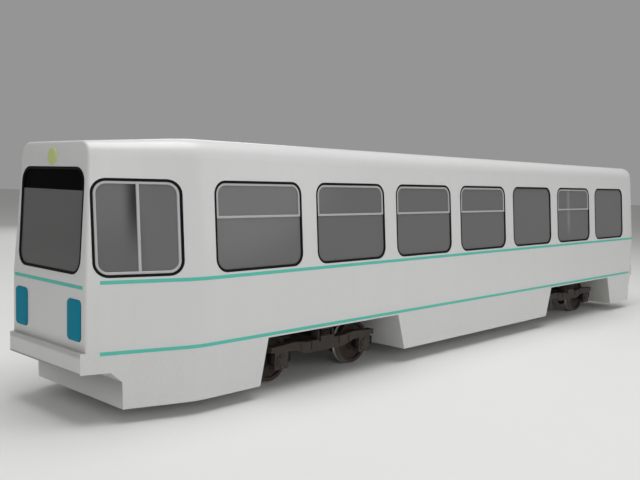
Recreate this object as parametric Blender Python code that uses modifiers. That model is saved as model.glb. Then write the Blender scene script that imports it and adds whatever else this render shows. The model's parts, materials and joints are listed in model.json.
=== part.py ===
# A single-ended light rail car: tapered cab at -Y, flat tail at +Y, flange tips on z = 0.
# Lengths are metres. A station s is measured back from the nose face, and y = NOSE_Y + s.
import math

import bmesh
import bpy

BODY_LENGTH = 14.55
BODY_WIDTH = 2.65
NOSE_Y = -BODY_LENGTH / 2
WALL = 0.06  # thickness of walls, roof and end panels
GAP = 0.0003  # between pieces that touch

# Heights
SKIRT_Z = 0.18
MIDDLE_SKIRT_Z = 0.2355
SILL_Z = 0.813  # lower edge of the body
BUMPER_LOW_Z, BUMPER_TOP_Z = 0.629, 0.877
FLOOR_Z = 0.90  # upper face of the floor
BELT_Z = 1.66  # the side leans inwards above it
SEAM_Z = 3.12  # joint between walls and roof
ROOF_Z = 3.385
NOSE_ROOF_Z = 3.297

# Cross-section and plan
TUMBLE = 0.076  # inward lean above the belt, per metre of height
ROOF_RADIUS = 0.24
NOSE_ROOF_RADIUS = 0.17
ARC_STEPS = 7
NOSE_INSET = 0.429  # how much narrower each side is at the nose
BEND_S = 1.283  # where the taper meets the straight sides
BEND_ROUND = 0.16
NOSE_RAKE, TAIL_RAKE = 0.0533, 0.02  # lean of the end faces above the belt, per metre of height
EDGE = 0.024  # radius of the end panels' outer edges
FRONT_WRAP, REAR_WRAP = 0.30, 0.22  # how far the end panels wrap round the corners

# Windows and doorways
WINDOW_LOW, WINDOW_HIGH = 1.740, 2.881
WINDOW_WIDTH = 1.52
WINDOW_RADIUS = 0.175
WINDOW_FIRST_S = 2.315  # middle of the first saloon window
WINDOW_PITCH = 1.8165
WINDOW_COUNT = 7
DOOR_MODULES = (2, 6)  # the window places that are doorways on the right side
CAB_WINDOW_S = (0.083, 1.111)
SCREEN_HALF = 0.76
SCREEN_LOW, SCREEN_BAND, SCREEN_HIGH = 1.760, 2.730, 3.000
SCREEN_RADIUS = 0.185
REAR_SCREEN_HALF = 1.08
PANE_DEPTH, PANE = 0.014, 0.018  # set back from the outer face, and thickness
PANE_GAP = 0.002
DOORWAY_HALF = 0.66
THRESHOLD_Z, DOOR_HEAD_Z = 0.93, 2.88
LEAF = 0.035
LEAF_DEPTH = WALL + 0.012
LEAF_LOW, LEAF_HIGH = 0.915, 2.91
LEAF_OVERLAP = 0.03

# Bogies and wheels
BOGIE_STATIONS = (3.86, 11.83)
WHEELBASE = 1.80
TREAD_RADIUS = 0.34
FLANGE_RADIUS = 0.366
WHEEL_INNER, WHEEL_OUTER = 0.68, 0.805
JOURNAL_RADIUS, JOURNAL_END = 0.055, 1.02
DISC_X, DISC_RADIUS = 0.45, 0.235  # brake discs on the axle
WHEEL_STEPS = 36
BEAM_IN, BEAM_OUT = 0.93, 1.05

parts = None
cutters = None


def clear_scene():
    for thing in list(bpy.data.objects):
        bpy.data.objects.remove(thing, do_unlink=True)


def new_collection(name):
    made = bpy.data.collections.new(name)
    bpy.context.scene.collection.children.link(made)
    return made


def material(name, colour, roughness, metallic=0.0, alpha=1.0):
    made = bpy.data.materials.get(name)
    if made:
        return made
    made = bpy.data.materials.new(name)
    made.use_nodes = True
    shader = made.node_tree.nodes["Principled BSDF"]
    shader.inputs["Base Color"].default_value = (*colour, 1.0)
    shader.inputs["Roughness"].default_value = roughness
    shader.inputs["Metallic"].default_value = metallic
    shader.inputs["Alpha"].default_value = alpha
    return made


FINISHES = {  # name: colour, roughness, metallic
    "body_paint": ((0.52, 0.52, 0.52), 0.45, 0.0),
    "roof_paint": ((0.60, 0.60, 0.60), 0.45, 0.0),
    "glass": ((0.12, 0.12, 0.12), 0.08, 0.0),
    "black_panel": ((0.004, 0.004, 0.004), 0.3, 0.0),
    "headlight_glass": ((0.36, 0.40, 0.13), 0.2, 0.0),
    "lamp_blue": ((0.01, 0.16, 0.23), 0.3, 0.0),
    "tail_red": ((0.35, 0.01, 0.01), 0.3, 0.0),
    "inner_panel": ((0.45, 0.45, 0.42), 0.6, 0.0),
    "floor_grey": ((0.10, 0.10, 0.11), 0.8, 0.0),
    "seat_blue": ((0.03, 0.13, 0.16), 0.9, 0.0),
    "rail_steel": ((0.6, 0.6, 0.6), 0.25, 1.0),
    "bogie_black": ((0.02, 0.02, 0.02), 0.7, 0.0),
    "wheel_steel": ((0.25, 0.24, 0.23), 0.4, 1.0),
}


def keep(thing, finish):
    """Makes an object a visible piece with its finish."""
    parts.objects.link(thing)
    colour, roughness, metallic = FINISHES[finish]
    thing.data.materials.clear()
    thing.data.materials.append(material(finish, colour, roughness, metallic))
    return thing


def helper(thing):
    """Makes an object a cutter or an operand, which isn't rendered."""
    cutters.objects.link(thing)
    thing.hide_render = True
    thing.display_type = "WIRE"
    return thing


def mesh_from(bm, name):
    data = bpy.data.meshes.new(name)
    bm.to_mesh(data)
    bm.free()
    return bpy.data.objects.new(name, data)


def closed(bm):
    bmesh.ops.recalc_face_normals(bm, faces=bm.faces)
    return bm


def box(name, low, high):
    bm = bmesh.new()
    made = bmesh.ops.create_cube(bm, size=1.0)
    for vert in made["verts"]:
        for axis in range(3):
            vert.co[axis] = low[axis] if vert.co[axis] < 0 else high[axis]
    return mesh_from(bm, name)


def cylinder(name, axis, centre, radius, half_length, steps=16):
    bm = bmesh.new()
    bmesh.ops.create_cone(
        bm, cap_ends=True, segments=steps, radius1=radius, radius2=radius, depth=2 * half_length
    )
    thing = mesh_from(bm, name)
    thing.location = centre
    if axis == "X":
        thing.rotation_euler = (0, math.pi / 2, 0)
    elif axis == "Y":
        thing.rotation_euler = (math.pi / 2, 0, 0)
    return thing


def prism(name, outline, axis, low, high):
    """Extrudes an outline of (a, b) points along X as (y, z), along Y as (x, z) or along Z as (x, y)."""
    place = {
        "X": lambda a, b, c: (c, a, b),
        "Y": lambda a, b, c: (a, c, b),
        "Z": lambda a, b, c: (a, b, c),
    }[axis]
    bm = bmesh.new()
    ends = [[bm.verts.new(place(a, b, c)) for a, b in outline] for c in (low, high)]
    count = len(outline)
    bm.faces.new(ends[0])
    bm.faces.new(ends[1])
    for i in range(count):
        j = (i + 1) % count
        bm.faces.new((ends[0][i], ends[0][j], ends[1][j], ends[1][i]))
    return mesh_from(closed(bm), name)


def rounded(a_low, a_high, b_low, b_high, radius, steps=4):
    """Outline of a rectangle with round corners."""
    points = []
    corners = (
        (a_high - radius, b_high - radius, 0),
        (a_low + radius, b_high - radius, 90),
        (a_low + radius, b_low + radius, 180),
        (a_high - radius, b_low + radius, 270),
    )
    for a, b, start in corners:
        for i in range(steps + 1):
            turn = math.radians(start + 90 * i / steps)
            points.append((a + radius * math.cos(turn), b + radius * math.sin(turn)))
    return points


def boolean(thing, other, operation):
    step = thing.modifiers.new(f"{operation.lower()} {other.name}", "BOOLEAN")
    step.operation = operation
    step.solver = "EXACT"
    step.object = other
    return thing


def cut(thing, other):
    return boolean(thing, helper(other), "DIFFERENCE")


def join(thing, other):
    return boolean(thing, helper(other), "UNION")


def intersect(thing, other):
    return boolean(thing, helper(other), "INTERSECT")


def solidify(thing, thickness):
    step = thing.modifiers.new("thickness", "SOLIDIFY")
    step.thickness = thickness
    step.offset = -1
    step.use_even_offset = True
    return thing


def straightness(s):
    """0 at the nose, 1 from the bend on, with the bend itself rounded."""
    if s <= BEND_S - BEND_ROUND:
        return s / BEND_S
    if s >= BEND_S + BEND_ROUND:
        return 1.0
    u = s - (BEND_S - BEND_ROUND)
    return (BEND_S - BEND_ROUND + u - u * u / (4 * BEND_ROUND)) / BEND_S


def half_width(s):
    return BODY_WIDTH / 2 - NOSE_INSET * (1 - straightness(s))


def side_x(s, z):
    """Outer face of the left side, at station s and height z."""
    return half_width(s) - TUMBLE * max(0.0, z - BELT_Z)


def rake(z, at_tail=False):
    return (TAIL_RAKE if at_tail else NOSE_RAKE) * max(0.0, z - BELT_Z)


def roof_arc(s, inset=0.0):
    """Points (x, z) of the roof edge at station s, from the wall up to the flat top."""
    b = straightness(s)
    top = NOSE_ROOF_Z + (ROOF_Z - NOSE_ROOF_Z) * b
    radius = NOSE_ROOF_RADIUS + (ROOF_RADIUS - NOSE_ROOF_RADIUS) * b
    lean = math.atan(TUMBLE)
    centre_z = top - radius
    start_z = centre_z + radius * math.sin(lean)
    centre_x = side_x(s, start_z) - radius * math.cos(lean)
    points = []
    for i in range(ARC_STEPS + 1):
        turn = lean + (math.pi / 2 - lean) * i / ARC_STEPS
        reach = radius - inset
        points.append((centre_x + reach * math.cos(turn), centre_z + reach * math.sin(turn)))
    return points


def bend_stations():
    """Stations where a length of wall has a section of its own."""
    return [BEND_S + BEND_ROUND * (k / 4 - 1) for k in range(9)]


def surface(name, rows, flip):
    """An open sheet through a grid of points, rows[i][k]."""
    bm = bmesh.new()
    grid = [[bm.verts.new(point) for point in row] for row in rows]
    for i in range(len(grid) - 1):
        for k in range(len(grid[0]) - 1):
            ring = [grid[i][k], grid[i + 1][k], grid[i + 1][k + 1], grid[i][k + 1]]
            bm.faces.new(ring[::-1] if flip else ring)
    return mesh_from(bm, name)


def side_sheet(name, sign, from_s, to_s, levels, depth=0.0):
    """Sheet along a side between two stations, depth inside the outer face."""
    stations = [from_s] + [s for s in bend_stations() if from_s < s < to_s] + [to_s]
    rows = [[(sign * (side_x(s, z) - depth), NOSE_Y + s, z) for z in levels] for s in stations]
    return surface(name, rows, sign < 0)


def window_span(module):
    middle = WINDOW_FIRST_S + WINDOW_PITCH * (module - 1)
    return middle - WINDOW_WIDTH / 2, middle + WINDOW_WIDTH / 2


def window_outline(span, shrink=0.0):
    return rounded(
        NOSE_Y + span[0] + shrink,
        NOSE_Y + span[1] - shrink,
        WINDOW_LOW + shrink,
        WINDOW_HIGH - shrink,
        WINDOW_RADIUS - shrink,
    )


def pane(name, sign, outline, finish="glass", depth=PANE_DEPTH, thickness=PANE):
    """A pane with its outline of (y, z) points, leaning with the side that holds it."""
    bm = bmesh.new()
    faces = []
    for inset in (depth, depth + thickness):
        faces.append(
            [bm.verts.new((sign * (side_x(y - NOSE_Y, z) - inset), y, z)) for y, z in outline]
        )
    bm.faces.new(faces[0])
    bm.faces.new(faces[1])
    count = len(outline)
    for i in range(count):
        j = (i + 1) % count
        bm.faces.new((faces[0][i], faces[0][j], faces[1][j], faces[1][i]))
    return keep(mesh_from(closed(bm), name), finish)


def side_wall(name, sign, from_s, to_s, spans):
    wall = side_sheet(name, sign, from_s, to_s, (SILL_Z, BELT_Z, SEAM_Z))
    keep(solidify(wall, WALL), "body_paint")
    for number, span in enumerate(spans):
        low, high = sorted((sign * 0.5, sign * 1.6))
        cut(wall, prism(f"{name}_cut_{number}", window_outline(span), "X", low, high))
    return wall


def side_walls():
    everything = [CAB_WINDOW_S] + [window_span(m + 1) for m in range(WINDOW_COUNT)]
    start, end = FRONT_WRAP + GAP, BODY_LENGTH - REAR_WRAP - GAP
    side_wall("left_side_wall", 1, start, end, everything)
    first, second = (window_span(m) for m in DOOR_MODULES)
    lengths = (  # name, from, to, windows
        ("right_wall_front", start, first[0] - GAP, [CAB_WINDOW_S, window_span(1)]),
        ("right_wall_middle", first[1] + GAP, second[0] - GAP, [window_span(m) for m in (3, 4, 5)]),
        ("right_wall_rear", second[1] + GAP, end, [window_span(7)]),
    )
    for name, from_s, to_s, spans in lengths:
        side_wall(name, -1, from_s, to_s, spans)


def side_panes():
    for module in range(1, WINDOW_COUNT + 1):
        outline = window_outline(window_span(module), PANE_GAP)
        pane(f"left_window_{module}", 1, outline)
        if module not in DOOR_MODULES:
            pane(f"right_window_{module}", -1, outline)
    for name, sign in (("left_cab_window", 1), ("right_cab_window", -1)):
        pane(name, sign, window_outline(CAB_WINDOW_S, PANE_GAP))


def doorway(name, module):
    """Frame of a doorway in the right side, with the track that both leaves hang from."""
    low, high = window_span(module)
    middle = (low + high) / 2
    frame = side_sheet(name, -1, low, high, (SILL_Z, BELT_Z, SEAM_Z))
    keep(solidify(frame, WALL), "body_paint")
    opening = box(
        f"{name}_opening",
        (-1.6, NOSE_Y + middle - DOORWAY_HALF, THRESHOLD_Z),
        (-0.9, NOSE_Y + middle + DOORWAY_HALF, DOOR_HEAD_Z),
    )
    cut(frame, opening)
    reach = 2 * DOORWAY_HALF + 0.02
    bracket = side_sheet(f"{name}_bracket", -1, middle - 0.7, middle + 0.7, (2.94, 3.01), 0.03)
    join(frame, solidify(bracket, 0.05))
    track = side_sheet(f"{name}_track", -1, middle - reach, middle + reach, (2.925, 3.03), WALL + 0.0025)
    join(frame, solidify(track, 0.07))
    return frame


def door_leaf(name, from_s, to_s):
    leaf = side_sheet(name, -1, from_s, to_s, (LEAF_LOW, BELT_Z, LEAF_HIGH), LEAF_DEPTH)
    keep(solidify(leaf, LEAF), "body_paint")
    margin = 0.11
    glazed = (NOSE_Y + from_s + margin, NOSE_Y + to_s - margin, 1.42, 2.72)
    cut(leaf, prism(f"{name}_cut", rounded(*glazed, 0.08), "X", -1.6, -0.9))
    glass = (glazed[0] + PANE_GAP, glazed[1] - PANE_GAP, glazed[2] + PANE_GAP, glazed[3] - PANE_GAP)
    leaf_pane(f"{name}_pane", rounded(*glass, 0.08 - PANE_GAP))
    return leaf


def leaf_pane(name, outline):
    """Glass of a leaf, bent at the belt like the leaf."""
    low = min(z for _, z in outline)
    high = max(z for _, z in outline)
    left = min(y for y, _ in outline) - NOSE_Y
    right = max(y for y, _ in outline) - NOSE_Y
    sheet = side_sheet(name, -1, left, right, (low, BELT_Z, high), LEAF_DEPTH + 0.008)
    keep(solidify(sheet, PANE), "glass")
    intersect(sheet, prism(f"{name}_outline", outline, "X", -1.6, -0.9))
    return sheet


def doors():
    for place, module in zip(("front", "rear"), DOOR_MODULES):
        low, high = window_span(module)
        middle = (low + high) / 2
        doorway(f"{place}_doorway", module)
        reach = DOORWAY_HALF + LEAF_OVERLAP
        door_leaf(f"{place}_door_a", middle - reach, middle - 0.003)
        door_leaf(f"{place}_door_b", middle + 0.003, middle + reach)


def roof():
    """Roof with its rounded edges, from seam to seam."""
    rows = []
    for s in [FRONT_WRAP + GAP] + bend_stations() + [BODY_LENGTH - REAR_WRAP - GAP]:
        half = [(side_x(s, SEAM_Z + GAP), SEAM_Z + GAP)] + roof_arc(s)
        section = half + [(-x, z) for x, z in reversed(half)]
        rows.append([(x, NOSE_Y + s, z) for x, z in section])
    keep(solidify(surface("roof", rows, False), WALL), "roof_paint")


def end_panel(name, at_tail, opening):
    """End wall that leans back above the belt and wraps round the corners, with a soft edge."""
    turns = [math.radians(30 * k) for k in range(4)]
    # depth from the leaning face and inset from the body's outline, over the face and its soft edge
    layers = [(EDGE * (1 - math.cos(turn)), EDGE * (1 - math.sin(turn))) for turn in turns]
    layers += [(None, 0.0), (None, WALL), (WALL, WALL)]  # a depth of None is the end of the wrapped part
    wrapped = REAR_WRAP if at_tail else FRONT_WRAP
    low_z = SILL_Z if at_tail else BUMPER_TOP_Z + GAP
    bm = bmesh.new()
    rings = []
    for depth, inset in layers:
        at = BODY_LENGTH - wrapped if at_tail else wrapped
        if depth is not None:
            at = BODY_LENGTH if at_tail else rake(NOSE_ROOF_Z) + depth
        shape = [(z, 0) for z in (low_z, BELT_Z, SEAM_Z)]
        shape += [(z, x) for x, z in roof_arc(at, inset)]
        pairs = []
        for z, x in shape:
            s = wrapped if depth is None else rake(z, at_tail) + depth
            x = x or side_x(BODY_LENGTH - s if at_tail else s, z) - inset
            y = -NOSE_Y - s if at_tail else NOSE_Y + s
            pairs.append((bm.verts.new((x, y, z)), bm.verts.new((-x, y, z))))
        rings.append(pairs)
    count = len(rings[0])
    for pairs in (rings[0], rings[-1]):
        for k in range(count - 1):
            bm.faces.new((pairs[k][0], pairs[k][1], pairs[k + 1][1], pairs[k + 1][0]))
    for outer, inner in zip(rings, rings[1:]):
        for side in (0, 1):
            for k in range(count - 1):
                bm.faces.new((outer[k][side], outer[k + 1][side], inner[k + 1][side], inner[k][side]))
        bm.faces.new((outer[-1][0], outer[-1][1], inner[-1][1], inner[-1][0]))
    bm.faces.new([pairs[0][0] for pairs in rings] + [pairs[0][1] for pairs in reversed(rings)])
    panel = keep(mesh_from(closed(bm), name), "body_paint")
    middle = -NOSE_Y if at_tail else NOSE_Y
    cut(panel, prism(f"{name}_cut", opening, "Y", middle - 0.14, middle + 0.14))
    return panel


def end_pane(name, finish, outline, at_tail):
    """A pane in an end panel, leaning with it."""
    bm = bmesh.new()
    sheets = []
    for depth in (PANE_DEPTH, PANE_DEPTH + PANE):
        ring = []
        for x, z in outline:
            s = rake(z, at_tail) + depth
            ring.append(bm.verts.new((x, -NOSE_Y - s if at_tail else NOSE_Y + s, z)))
        sheets.append(ring)
        bm.faces.new(ring)
    count = len(outline)
    for i in range(count):
        j = (i + 1) % count
        bm.faces.new((sheets[0][i], sheets[0][j], sheets[1][j], sheets[1][i]))
    return keep(mesh_from(closed(bm), name), finish)


def ends():
    screen = rounded(-SCREEN_HALF, SCREEN_HALF, SCREEN_LOW, SCREEN_HIGH, SCREEN_RADIUS)
    panel = end_panel("front_panel", False, screen)
    for side, low, high in (("left", 0.8, 1.6), ("right", -1.6, -0.8)):
        cut(panel, prism(f"{side}_cab_window_cut", window_outline(CAB_WINDOW_S), "X", low, high))
    half = SCREEN_HALF - PANE_GAP
    radius = SCREEN_RADIUS - PANE_GAP
    inner = rounded(-half, half, SCREEN_LOW + PANE_GAP, SCREEN_HIGH - PANE_GAP, radius)
    corner = SCREEN_HIGH - SCREEN_RADIUS
    upper = [p for p in inner if p[1] >= corner - 0.001]
    lower = [p for p in inner if p[1] < corner - 0.001]
    band = SCREEN_BAND
    end_pane("destination_panel", "black_panel", upper + [(-half, band), (half, band)], False)
    end_pane("windscreen", "glass", [(half, band - GAP), (-half, band - GAP)] + lower, False)
    rear = (-REAR_SCREEN_HALF, REAR_SCREEN_HALF, SCREEN_LOW, SCREEN_HIGH)
    end_panel("rear_panel", True, rounded(*rear, SCREEN_RADIUS))
    half = REAR_SCREEN_HALF - PANE_GAP
    rear = rounded(-half, half, SCREEN_LOW + PANE_GAP, SCREEN_HIGH - PANE_GAP, radius)
    end_pane("rear_window", "glass", rear, True)


def plan_prism(name, from_s, to_s, low, high, inset=0.0):
    """Block with the body's plan outline between two stations."""
    stations = [from_s] + [s for s in bend_stations() if from_s < s < to_s] + [to_s]
    left = [(half_width(s) - inset, NOSE_Y + s) for s in stations]
    right = [(-x, y) for x, y in reversed(left)]
    return prism(name, left + right, "Z", low, high)


def floor_inset():
    """From the body's outline to the floor's edge, across the car, clear of the tapered walls."""
    return WALL / math.cos(math.atan(NOSE_INSET / BEND_S)) + 0.002


def floor():
    edge = WALL + GAP
    keep(plan_prism("floor", edge, BODY_LENGTH - edge, SILL_Z, FLOOR_Z, floor_inset()), "floor_grey")


def across(name, finish, outline):
    """Full-width block from its side outline of (s, z) points, trimmed to the body's plan."""
    points = [(NOSE_Y + s, z) for s, z in outline]
    block = keep(prism(name, points, "X", -1.5, 1.5), finish)
    low_s = min(s for s, _ in outline) - 0.1
    high_s = max(s for s, _ in outline) + 0.1
    intersect(block, plan_prism(f"{name}_plan", low_s, high_s, 0.0, 2.0))
    return block


def skirts():
    top = SILL_Z - GAP
    # Side outlines of (s, z) points
    bumper = across(
        "front_bumper",
        "body_paint",
        (
            (-0.055, BUMPER_LOW_Z),
            (0.41 - GAP, BUMPER_LOW_Z),
            (0.41 - GAP, top),
            (FRONT_WRAP - GAP, top),
            (FRONT_WRAP - GAP, BUMPER_TOP_Z),
            (-0.055, BUMPER_TOP_Z),
        ),
    )
    # The front end of the floor lies inside the bumper's upper part
    cut(bumper, plan_prism("floor_space", WALL, 0.5, top, 1.0, floor_inset() - GAP))
    across(
        "front_skirt",
        "body_paint",
        (
            (0.277, BUMPER_LOW_Z - GAP),
            (0.400, 0.510),
            (0.411, SKIRT_Z),
            (2.309, SKIRT_Z),
            (2.443, top),
            (0.41, top),
            (0.41, BUMPER_LOW_Z - GAP),
        ),
    )
    middle = ((5.249, top), (5.438, MIDDLE_SKIRT_Z), (10.239, MIDDLE_SKIRT_Z), (10.428, top))
    across("middle_skirt", "body_paint", middle)
    rear = ((13.203, top), (13.439, SKIRT_Z), (14.475, SKIRT_Z), (14.473, 0.52), (14.531, 0.768))
    across("rear_skirt", "body_paint", rear + ((14.531, top),))
    tail = BODY_LENGTH + GAP
    beam = ((tail, 0.786), (tail + 0.055, 0.786), (tail + 0.055, 1.015), (tail, 1.015))
    across("rear_bumper", "body_paint", beam)


def round_lamp():
    lamp_z, half = 3.126, 0.009
    lamp = cylinder("headlight", "Y", (0, NOSE_Y + rake(lamp_z) - half, lamp_z), 0.10, half, 24)
    lamp.rotation_euler.x = math.pi / 2 - math.atan(NOSE_RAKE)
    lamp.location.y -= 0.002
    lamp.data.shade_smooth()
    lamp.data.set_sharp_from_angle(angle=math.radians(30))
    keep(lamp, "headlight_glass")


def lamp_panels():
    # name, finish, inner and outer x, low and high z, at the tail
    table = (
        ("left_lamp_panel", "lamp_blue", 0.505, 0.80, 0.995, 1.475, False),
        ("right_lamp_panel", "lamp_blue", -0.80, -0.505, 0.995, 1.475, False),
        ("left_tail_lamp", "tail_red", 0.92, 1.16, 1.20, 1.44, True),
        ("right_tail_lamp", "tail_red", -1.16, -0.92, 1.20, 1.44, True),
    )
    for name, finish, x0, x1, z0, z1, at_tail in table:
        face = -NOSE_Y + GAP if at_tail else NOSE_Y - GAP
        front = face + 0.016 if at_tail else face - 0.016
        outline = rounded(x0, x1, z0, z1, 0.055, 3)
        keep(prism(name, outline, "Y", min(face, front), max(face, front)), finish)


def bulkhead():
    """Wall behind the cab with an open passage."""
    s = 1.40
    clear = WALL + 0.012
    half = [(side_x(s, z) - clear, z) for z in (FLOOR_Z + GAP, BELT_Z, SEAM_Z)]
    half.append((side_x(s, SEAM_Z) - 0.17, 3.26))
    outline = half + [(-x, z) for x, z in reversed(half)]
    y = NOSE_Y + s
    wall = keep(prism("cab_bulkhead", outline, "Y", y, y + 0.04), "inner_panel")
    cut(wall, box("passage", (-0.72, y - 0.1, 0.5), (-0.08, y + 0.2, 2.86)))


def driver_desk():
    base = FLOOR_Z + GAP
    outline = ((0.30, base), (0.62, base), (0.62, 1.52), (0.72, 1.56), (0.72, 1.62), (0.30, 1.70))
    points = [(NOSE_Y + s, z) for s, z in outline]
    keep(prism("driver_desk", points, "X", -0.78, 0.78), "inner_panel")


def driver_seat():
    base = FLOOR_Z + GAP
    # Side outline: foot and post, behind the cushion up to the back's top, and down its front
    outline = ((0.95, base), (1.18, base), (1.12, 0.96), (1.12, 1.28), (1.24, 1.30), (1.33, 1.36))
    outline += ((1.36, 1.98), (1.28, 2.00), (1.22, 1.44), (0.84, 1.42), (0.82, 1.32), (1.02, 1.28))
    outline += ((1.02, 0.96),)
    points = [(NOSE_Y + s, z) for s, z in outline]
    keep(prism("driver_seat", points, "X", 0.10, 0.56), "seat_blue")


def seat_row(name, first_s, count, pitch, low_x, high_x):
    """Seats one behind the other on a base rail, as one outline pushed across."""
    base = FLOOR_Z + GAP
    # Station from the front of the cushion, height above the floor
    seat = ((0.02, 0.36), (0.00, 0.44), (0.38, 0.42), (0.46, 0.92), (0.51, 0.92))
    seat += ((0.44, 0.34), (0.30, 0.34), (0.30, 0.05))
    outline = [(first_s, base), (first_s, base + 0.05)]
    for number in range(count):
        start = first_s + number * pitch
        outline.append((start + 0.18, base + 0.05))
        outline.append((start + 0.18, base + 0.34))
        for ds, dz in seat:
            outline.append((start + ds, base + dz))
    end = first_s + (count - 1) * pitch + 0.5
    outline += [(end, base + 0.05), (end, base)]
    points = [(NOSE_Y + s, z) for s, z in outline]
    keep(prism(name, points, "X", low_x, high_x), "seat_blue")


def grab_rails():
    """Two ceiling rails joined by cross bars, standing on poles."""
    height, reach, radius = 2.72, 0.39, 0.017
    first, last = 1.75, 14.2
    poles = (3.20, 5.06, 7.77, 10.45, 12.35)
    middle = NOSE_Y + (first + last) / 2
    half = (last - first) / 2
    rail = keep(cylinder("grab_rails", "Y", (reach, middle, height), radius, half, 8), "rail_steel")
    join(rail, cylinder("second_rail", "Y", (-reach, middle, height), radius, half, 8))
    low = FLOOR_Z + GAP
    for number, s in enumerate(poles):
        y = NOSE_Y + s
        join(rail, cylinder(f"cross_bar_{number}", "X", (0, y, height), radius * 0.9, reach, 8))
        for side in (-1, 1):
            centre = (side * reach, y, (low + height) / 2)
            join(rail, cylinder(f"pole_{number}_{side}", "Z", centre, radius * 0.95, (height - low) / 2, 8))


def interior():
    bulkhead()
    driver_desk()
    driver_seat()
    seat_row("left_seats", 1.75, 13, 0.94, 0.44, 1.22)
    seat_row("right_seats", 5.40, 5, 0.94, -1.15, -0.44)
    grab_rails()


def wheel_profile():
    """Axle and wheels as (x, radius) points from the left journal's end to the middle."""
    scale = 1 / math.cos(math.pi / WHEEL_STEPS)  # the flats of the turned rings lie at the true radius
    hub, web, rim = 0.115, 0.745, 0.285
    points = (
        (JOURNAL_END, 0.0),
        (JOURNAL_END, JOURNAL_RADIUS),
        (0.87, JOURNAL_RADIUS),
        (0.83, hub),
        (web + 0.015, hub + 0.03),
        (web + 0.015, rim),
        (WHEEL_OUTER, rim),
        (WHEEL_OUTER, TREAD_RADIUS - 0.003),
        (0.712, TREAD_RADIUS + 0.002),
        (0.700, FLANGE_RADIUS * scale),
        (0.686, FLANGE_RADIUS * scale),
        (WHEEL_INNER, rim),
        (web - 0.015, rim),
        (web - 0.015, hub + 0.03),
        (0.66, hub),
        (0.64, 0.075),
        (DISC_X + 0.016, 0.075),
        (DISC_X + 0.016, DISC_RADIUS),
        (DISC_X - 0.016, DISC_RADIUS),
        (DISC_X - 0.016, 0.075),
    )
    return points


def wheelset(name, s):
    half = wheel_profile()
    whole = list(half) + [(-x, r) for x, r in reversed(half)]
    bm = bmesh.new()
    line = [bm.verts.new((x, 0.0, r)) for x, r in whole]
    for a, b in zip(line, line[1:]):
        bm.edges.new((a, b))
    thing = keep(mesh_from(bm, name), "wheel_steel")
    turn = thing.modifiers.new("turned", "SCREW")
    turn.axis = "X"
    turn.steps = turn.render_steps = WHEEL_STEPS
    turn.use_merge_vertices = True
    turn.merge_threshold = 0.00001
    turn.use_normal_calculate = True
    thing.rotation_euler.x = math.pi / WHEEL_STEPS
    thing.location = (0, NOSE_Y + s, FLANGE_RADIUS)
    return thing


def bogie_frame(name, s):
    """Frame with side beams, axle boxes, transom, springs, bolster, pivot and motors."""
    y = NOSE_Y + s
    half = WHEELBASE / 2
    reach = BEAM_OUT - 0.01
    frame = keep(box(name, (-reach, y - 0.17, 0.42), (reach, y + 0.17, 0.60)), "bogie_black")
    # Half of a side beam's outline, from its end to the bogie's middle: along, low z and high z
    beam = ((1.10, 0.505, 0.575), (0.64, 0.478, 0.602), (0.40, 0.405, 0.572))
    low_line = [(along, low) for along, low, high in beam]
    high_line = [(along, high) for along, low, high in beam]
    outline = low_line + [(-along, low) for along, low in reversed(low_line)]
    outline += [(-along, high) for along, high in high_line] + high_line[::-1]
    points = [(y + along, z) for along, z in outline]
    for sign in (-1, 1):
        low_x, high_x = sorted((sign * BEAM_IN, sign * BEAM_OUT))
        join(frame, prism(f"{name}_beam_{sign}", points, "X", low_x, high_x))
        seat_low, seat_high = sorted((sign * 0.86, sign * 1.09))
        seat = box(f"{name}_seat_{sign}", (seat_low, y - 0.14, 0.55), (seat_high, y + 0.14, 0.63))
        join(frame, seat)
        spring = cylinder(f"{name}_spring_{sign}", "Z", (sign * 0.975, y, 0.675), 0.095, 0.055)
        join(frame, spring)
        motor = cylinder(f"{name}_motor_{sign}", "Y", (0, y + sign * 0.38, 0.44), 0.20, 0.27)
        join(frame, motor)
        for end in (-1, 1):
            at = y + end * half
            low, high = (low_x + 0.004, at - 0.13, 0.25), (high_x - 0.004, at + 0.13, 0.53)
            join(frame, box(f"{name}_box_{sign}_{end}", low, high))
    join(frame, box(f"{name}_bolster", (-1.07, y - 0.12, 0.72), (1.07, y + 0.12, 0.785)))
    join(frame, cylinder(f"{name}_pivot", "Z", (0, y, 0.796), 0.16, 0.016, 24))
    bore = JOURNAL_RADIUS + 0.0065
    for end in (-1, 1):
        centre = (0, y + end * half, FLANGE_RADIUS)
        cut(frame, cylinder(f"{name}_bore_{end}", "X", centre, bore, JOURNAL_END + 0.006, 36))
    return frame


def bogies():
    number = 0
    for name, s in zip(("front_bogie_frame", "rear_bogie_frame"), BOGIE_STATIONS):
        bogie_frame(name, s)
        for end in (-1, 1):
            number += 1
            wheelset(f"wheelset_{number}", s + end * WHEELBASE / 2)


def main():
    global parts, cutters
    clear_scene()
    parts = new_collection("light_rail_car")
    cutters = new_collection("cutters")
    cutters.hide_render = True
    roof()
    side_walls()
    side_panes()
    doors()
    ends()
    floor()
    skirts()
    round_lamp()
    lamp_panels()
    interior()
    bogies()


main()
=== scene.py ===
import json
import math

import bmesh
import bpy
from mathutils import Matrix, Vector

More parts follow.
